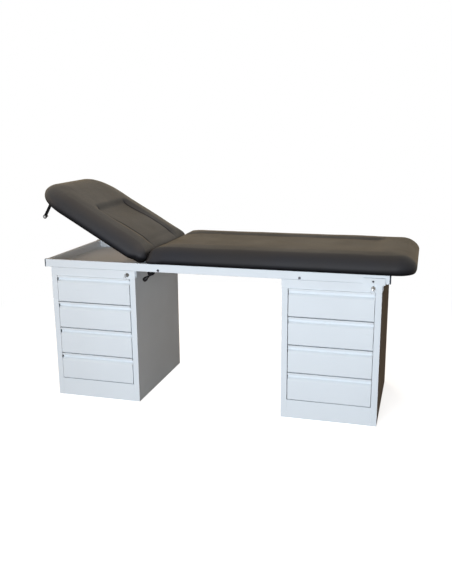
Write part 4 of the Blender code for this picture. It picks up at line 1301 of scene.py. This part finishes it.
@dataclass
class Fittings:
    """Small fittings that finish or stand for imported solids, in the cabinet's axes."""

    palette: Palette
    corner: Vector
    hinge: Vector
    pitch: float = 1.200
    lock: Point = (0.420, -0.0303, 0.669)
    ring_radius: float = 0.0090
    ring_drop: float = 0.0100
    ring_wire: float = 0.00045
    ring_ends: tuple[float, float] = (-0.35, 2.0 * FULL_TURN - 0.9)
    ring_cross: tuple[float, float] = (5.6, 1.2)
    knob_radius: float = 0.0115
    knob_start: float = 0.0285
    knob_length: float = 0.038
    knob_full: float = 0.65
    knob_way: tuple[float, float] = (-0.042, -0.036)
    knob_nose: tuple = ((1.007, 0.18), (1.011, 0.09))
    stem: tuple[float, float] = (0.0343, 0.0025)
    lever_axis: Point = (0.060, 0.030, -0.092)
    hub: tuple[float, float] = (0.0248, 0.0352)
    hub_bevel: float = 0.0012
    sheet: float = 0.0012
    strip: tuple[float, float] = (0.0205, 0.5995)
    plate: Point = (0.0090, 0.0022, 0.0020)
    plate_round: float = 0.003
    plate_hole: tuple[float, float] = (0.46, 0.005)
    hole_over: float = 0.02
    hole_length: float = 0.05

    def lever_knob(self) -> None:
        """The lever's knob, turned: it swells softly to its full radius at 0.65 of its length, then rounds off.

        Before 0.65 the radius is half plus half a soft step, after it 1 − 0.75·x³ of the full radius, with x from
        0 to 1 over the rest. A blind hole takes the lever's stem.
        """
        way = unit(np.array([self.knob_way[0], 0.0, self.knob_way[1]]))
        base = np.array(self.hinge) + np.array([self.lever_axis[0], 0.0, self.lever_axis[2]])
        base[1] = self.corner.y + self.lever_axis[1]
        part, full = np.linspace(0.0, 1.0, 33), self.knob_full
        late = np.clip((part - full) / (1.0 - full), 0.0, 1.0)
        size = np.where(part < full, 0.5 + 0.5 * smooth(part / full), 1.0 - 0.75 * late**3)
        body = np.vstack([np.column_stack([part, size]), self.knob_nose]) * [self.knob_length, self.knob_radius]
        hole = [self.stem, (self.knob_start, self.stem[1])]
        form = revolve(np.vstack([hole, body + [self.knob_start, 0.0]]), base, way, 40)
        self.palette.add("lever_ball_knob", form, "lever", "gloss_black_plastic", "lever_knob", 45.0)

    def key_rings(self) -> None:
        """Split rings of two close turns: a wire carried round a circle twice while it moves one wire's width."""
        turn = np.linspace(*self.ring_ends, 120)
        none = np.zeros_like(turn)
        start, reach = self.ring_cross
        shift = 2.0 * self.ring_wire * (np.clip((turn - start) / reach, 0.0, 1.0) - 0.5)
        spoke = np.column_stack([np.sin(turn), none, -np.cos(turn)])
        upright = np.tile([0.0, 1.0, 0.0], (len(turn), 1))
        wire = self.ring_wire * around(8, upright[:, None], spoke[:, None])
        x, y, z = self.lock
        for side, left in (("left", 0.0), ("right", self.pitch)):
            centre = np.array(self.corner) + np.array([left + x, y, z - self.ring_drop])
            path = centre + self.ring_radius * spoke + np.column_stack([none, shift, none])
            self.palette.add(f"{side}_split_ring", capped(path[:, None] + wire), f"{side}_lock", STEEL,
                             f"{side}_key_ring", 60.0)

    def lever_hub(self) -> None:
        """A moulded block over the lever's hub: an outline in x and z carried across the hub."""
        points, faces = prism(HUB_OUTLINE, *self.hub)
        place = np.array([self.hinge.x + self.lever_axis[0], self.corner.y, self.hinge.z + self.lever_axis[2]])
        piece = self.palette.add("lever_hub_block", (points[:, [0, 2, 1]] + place, faces), "lever", "black_coat")
        soft = piece.modifiers.new("soft_edges", "BEVEL")
        soft.width, soft.segments = self.hub_bevel, 2

    def tray_strip(self) -> None:
        """A strip of sheet that closes the tray's floor between the head rail and the left cabinet's top."""
        points, faces = prism(bent(STRIP_LINE, -self.sheet), *self.strip)
        form = (points[:, [0, 2, 1]] + np.array(self.corner), faces)
        self.palette.add("tray_floor_strip", form, "couch", WHITE_COAT)

    def accessory(self) -> None:
        """The accessory plate: a slab with round corners before a smaller one, so that a shadow gap runs round it."""
        low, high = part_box("accessory_plate")
        thick, gap, inset = self.plate
        turn = np.linspace(0.0, FULL_TURN, 33)[:-1] + 1e-6
        forms = []
        for shrink, near, far in ((0.0, high.y - thick, high.y - gap), (inset, high.y - gap, high.y)):
            z, x = (np.where(side > 0.0, end - self.plate_round, start + self.plate_round)
                    + (self.plate_round - shrink) * side
                    for side, start, end in ((np.sin(turn), low.z, high.z), (np.cos(turn), low.x, high.x)))
            points, faces = prism(np.column_stack([z, x]), near, far)
            forms.append((points[:, [1, 2, 0]], faces))
        piece = make_piece("accessory_cover", *merged(forms), self.palette.of(WHITE_COAT), 40.0)
        share, radius = self.plate_hole
        place = np.array([low.x + share * (high.x - low.x), low.y - self.hole_over, (low.z + high.z) / 2])
        profile = np.array([(0.0, radius), (self.hole_length, radius)])
        carve(piece, *revolve(profile, place, np.array([0.0, 1.0, 0.0]), 24))
        carry(piece, "couch", "accessory_plate")

    def roll_pins(self) -> None:
        """Two short pins, one in each arm, that take a paper roll's ends: a profile carried round their axis."""
        low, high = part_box("paper_roll_rod")
        x, z = (low.x + high.x) / 2, (low.z + high.z) / 2
        forms = [revolve(PIN_PROFILE, np.array([x, y, z]), np.array([0.0, way, 0.0]), 32)
                 for y, way in ((low.y, 1.0), (high.y, -1.0))]
        self.palette.add("paper_roll_pins", merged(forms), "backrest", STEEL, "paper_roll_rod", 35.0)

    def build(self) -> None:
        """Builds all fittings."""
        self.lever_knob()
        self.lever_hub()
        self.key_rings()
        self.tray_strip()
        self.accessory()
        self.roll_pins()


@dataclass
class Couch:
    """The whole couch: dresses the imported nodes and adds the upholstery."""

    frame: dict
    palette: Palette
    corner: Vector
    depth: float = 0.620
    pad_half: float = 0.041
    hinge_x: float = 0.482
    hinge_z: float = 0.7716
    seat_gap: float = 0.002
    seat_end: float = 1.806
    seat_margin: float = 0.178
    back_length: float = 0.628
    back_recess: float = 0.345
    board_gap: float = 0.032
    arm_room: Point = (0.158, -0.08, 0.0235)
    rest_angle: float = math.radians(30.4)
    arms: tuple = ((0.058, 0.0772), (0.5428, 0.562))

    @property
    def hinge(self) -> Vector:
        """The middle of the backrest's axis."""
        return self.corner + Vector((self.hinge_x, self.depth / 2, self.hinge_z))

    def dress(self) -> None:
        """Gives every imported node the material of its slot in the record, or a finish of its own."""
        bolt = DrawnMetal(STEEL, "blackened_steel", "55555a", "3c3c40", (0.34, 0.5)).material()
        plug = DrawnMetal(STEEL, "worn_lock_plug", "68645e", "45423e", (0.3, 0.45)).material()
        own = {
            # A shaded copy of the white coat without specular, so the right cabinet's side reads darker than the same
            # coat elsewhere.
            "right_cabinet_wrapper": PowderCoat(name="white_powder_coat_matt", shine=0.0).material(),
            "left_lock_plug": plug,
            "right_lock_plug": plug,
            "tie_bolt_head": bolt,
            "tie_bolt_foot": bolt,
            "backrest_board": Plywood(name="birch_plywood_sloped", turn=self.rest_angle).material(),
        }
        for part in self.frame["record"]["subparts"]:
            material = own.get(part["node"]) or self.palette.of(part["material_slot"])
            for slot in self.frame["nodes"][part["node"]].material_slots:
                slot.material = material

    def pads(self) -> list[Pad]:
        """The seat's and the backrest's pads, in place.

        Returns:
            Both pads.
        """
        hinge, half = self.hinge, self.pad_half
        first = half + self.seat_gap
        length = self.seat_end - self.hinge_x - first
        seat = Pad("seat_cushion", "seat_pad", "couch", hinge, length, recess_end=length - self.seat_margin,
                   corner=0.095, far_edge=0.067, far_drop=0.009, end_low_edge=0.008, end_drop=0.026, start=first,
                   tuck=0.0115, top_edge=0.048, recess_end_depth=0.009, end_slope=0.034, crease_depth=0.0005,
                   crease_width=0.0022)
        middle = self.depth / 2
        reach, low, high = self.arm_room
        slots = [((-0.04, y0 - middle, low), (half + reach, y1 - middle, high)) for y0, y1 in self.arms]
        # The backrest gets a lit copy of the upholstery: more painted sheen on what faces up, and less on its sides.
        finish = Upholstery(name="black_pvc_upholstery_back", shine=(0.01, 0.44), dull_below=-0.25)
        back = Pad("backrest_cushion", "backrest_pad", "backrest", hinge, self.back_length + half,
                   recess_end=self.back_recess + half, corner=0.175, far_edge=0.071, far_drop=0.013,
                   end_low_edge=half, end_drop=0.0, start=half, way=-1, turn=self.rest_angle,
                   board_start=half + self.board_gap, turn_in_start=0.212, slots=slots, finish=finish)
        return [seat, back]

    def upholster(self) -> None:
        """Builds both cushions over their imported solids, with hems and staples."""
        for pad in self.pads():
            cover = pad.finish.material()
            piece = pad.cushion(cover)
            carry(piece, pad.body, pad.node)
            carry(pad.cover_hem(cover), pad.body)
            carry(pad.staples(self.palette.of(STEEL)), pad.body)


def main() -> None:
    """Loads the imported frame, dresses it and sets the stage."""
    logging.basicConfig(level=logging.INFO, format="%(name)s: %(message)s")
    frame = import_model()
    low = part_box("left_cabinet_wrapper")[0]
    corner = Vector((low.x, low.y, 0.0))
    palette = Palette()
    couch = Couch(frame, palette, corner)
    couch.dress()
    couch.upholster()
    DrawerFronts(palette, corner).build()
    Fittings(palette, corner, couch.hinge).build()
    Studio(corner).build()


if __name__ == "__main__":
    main()
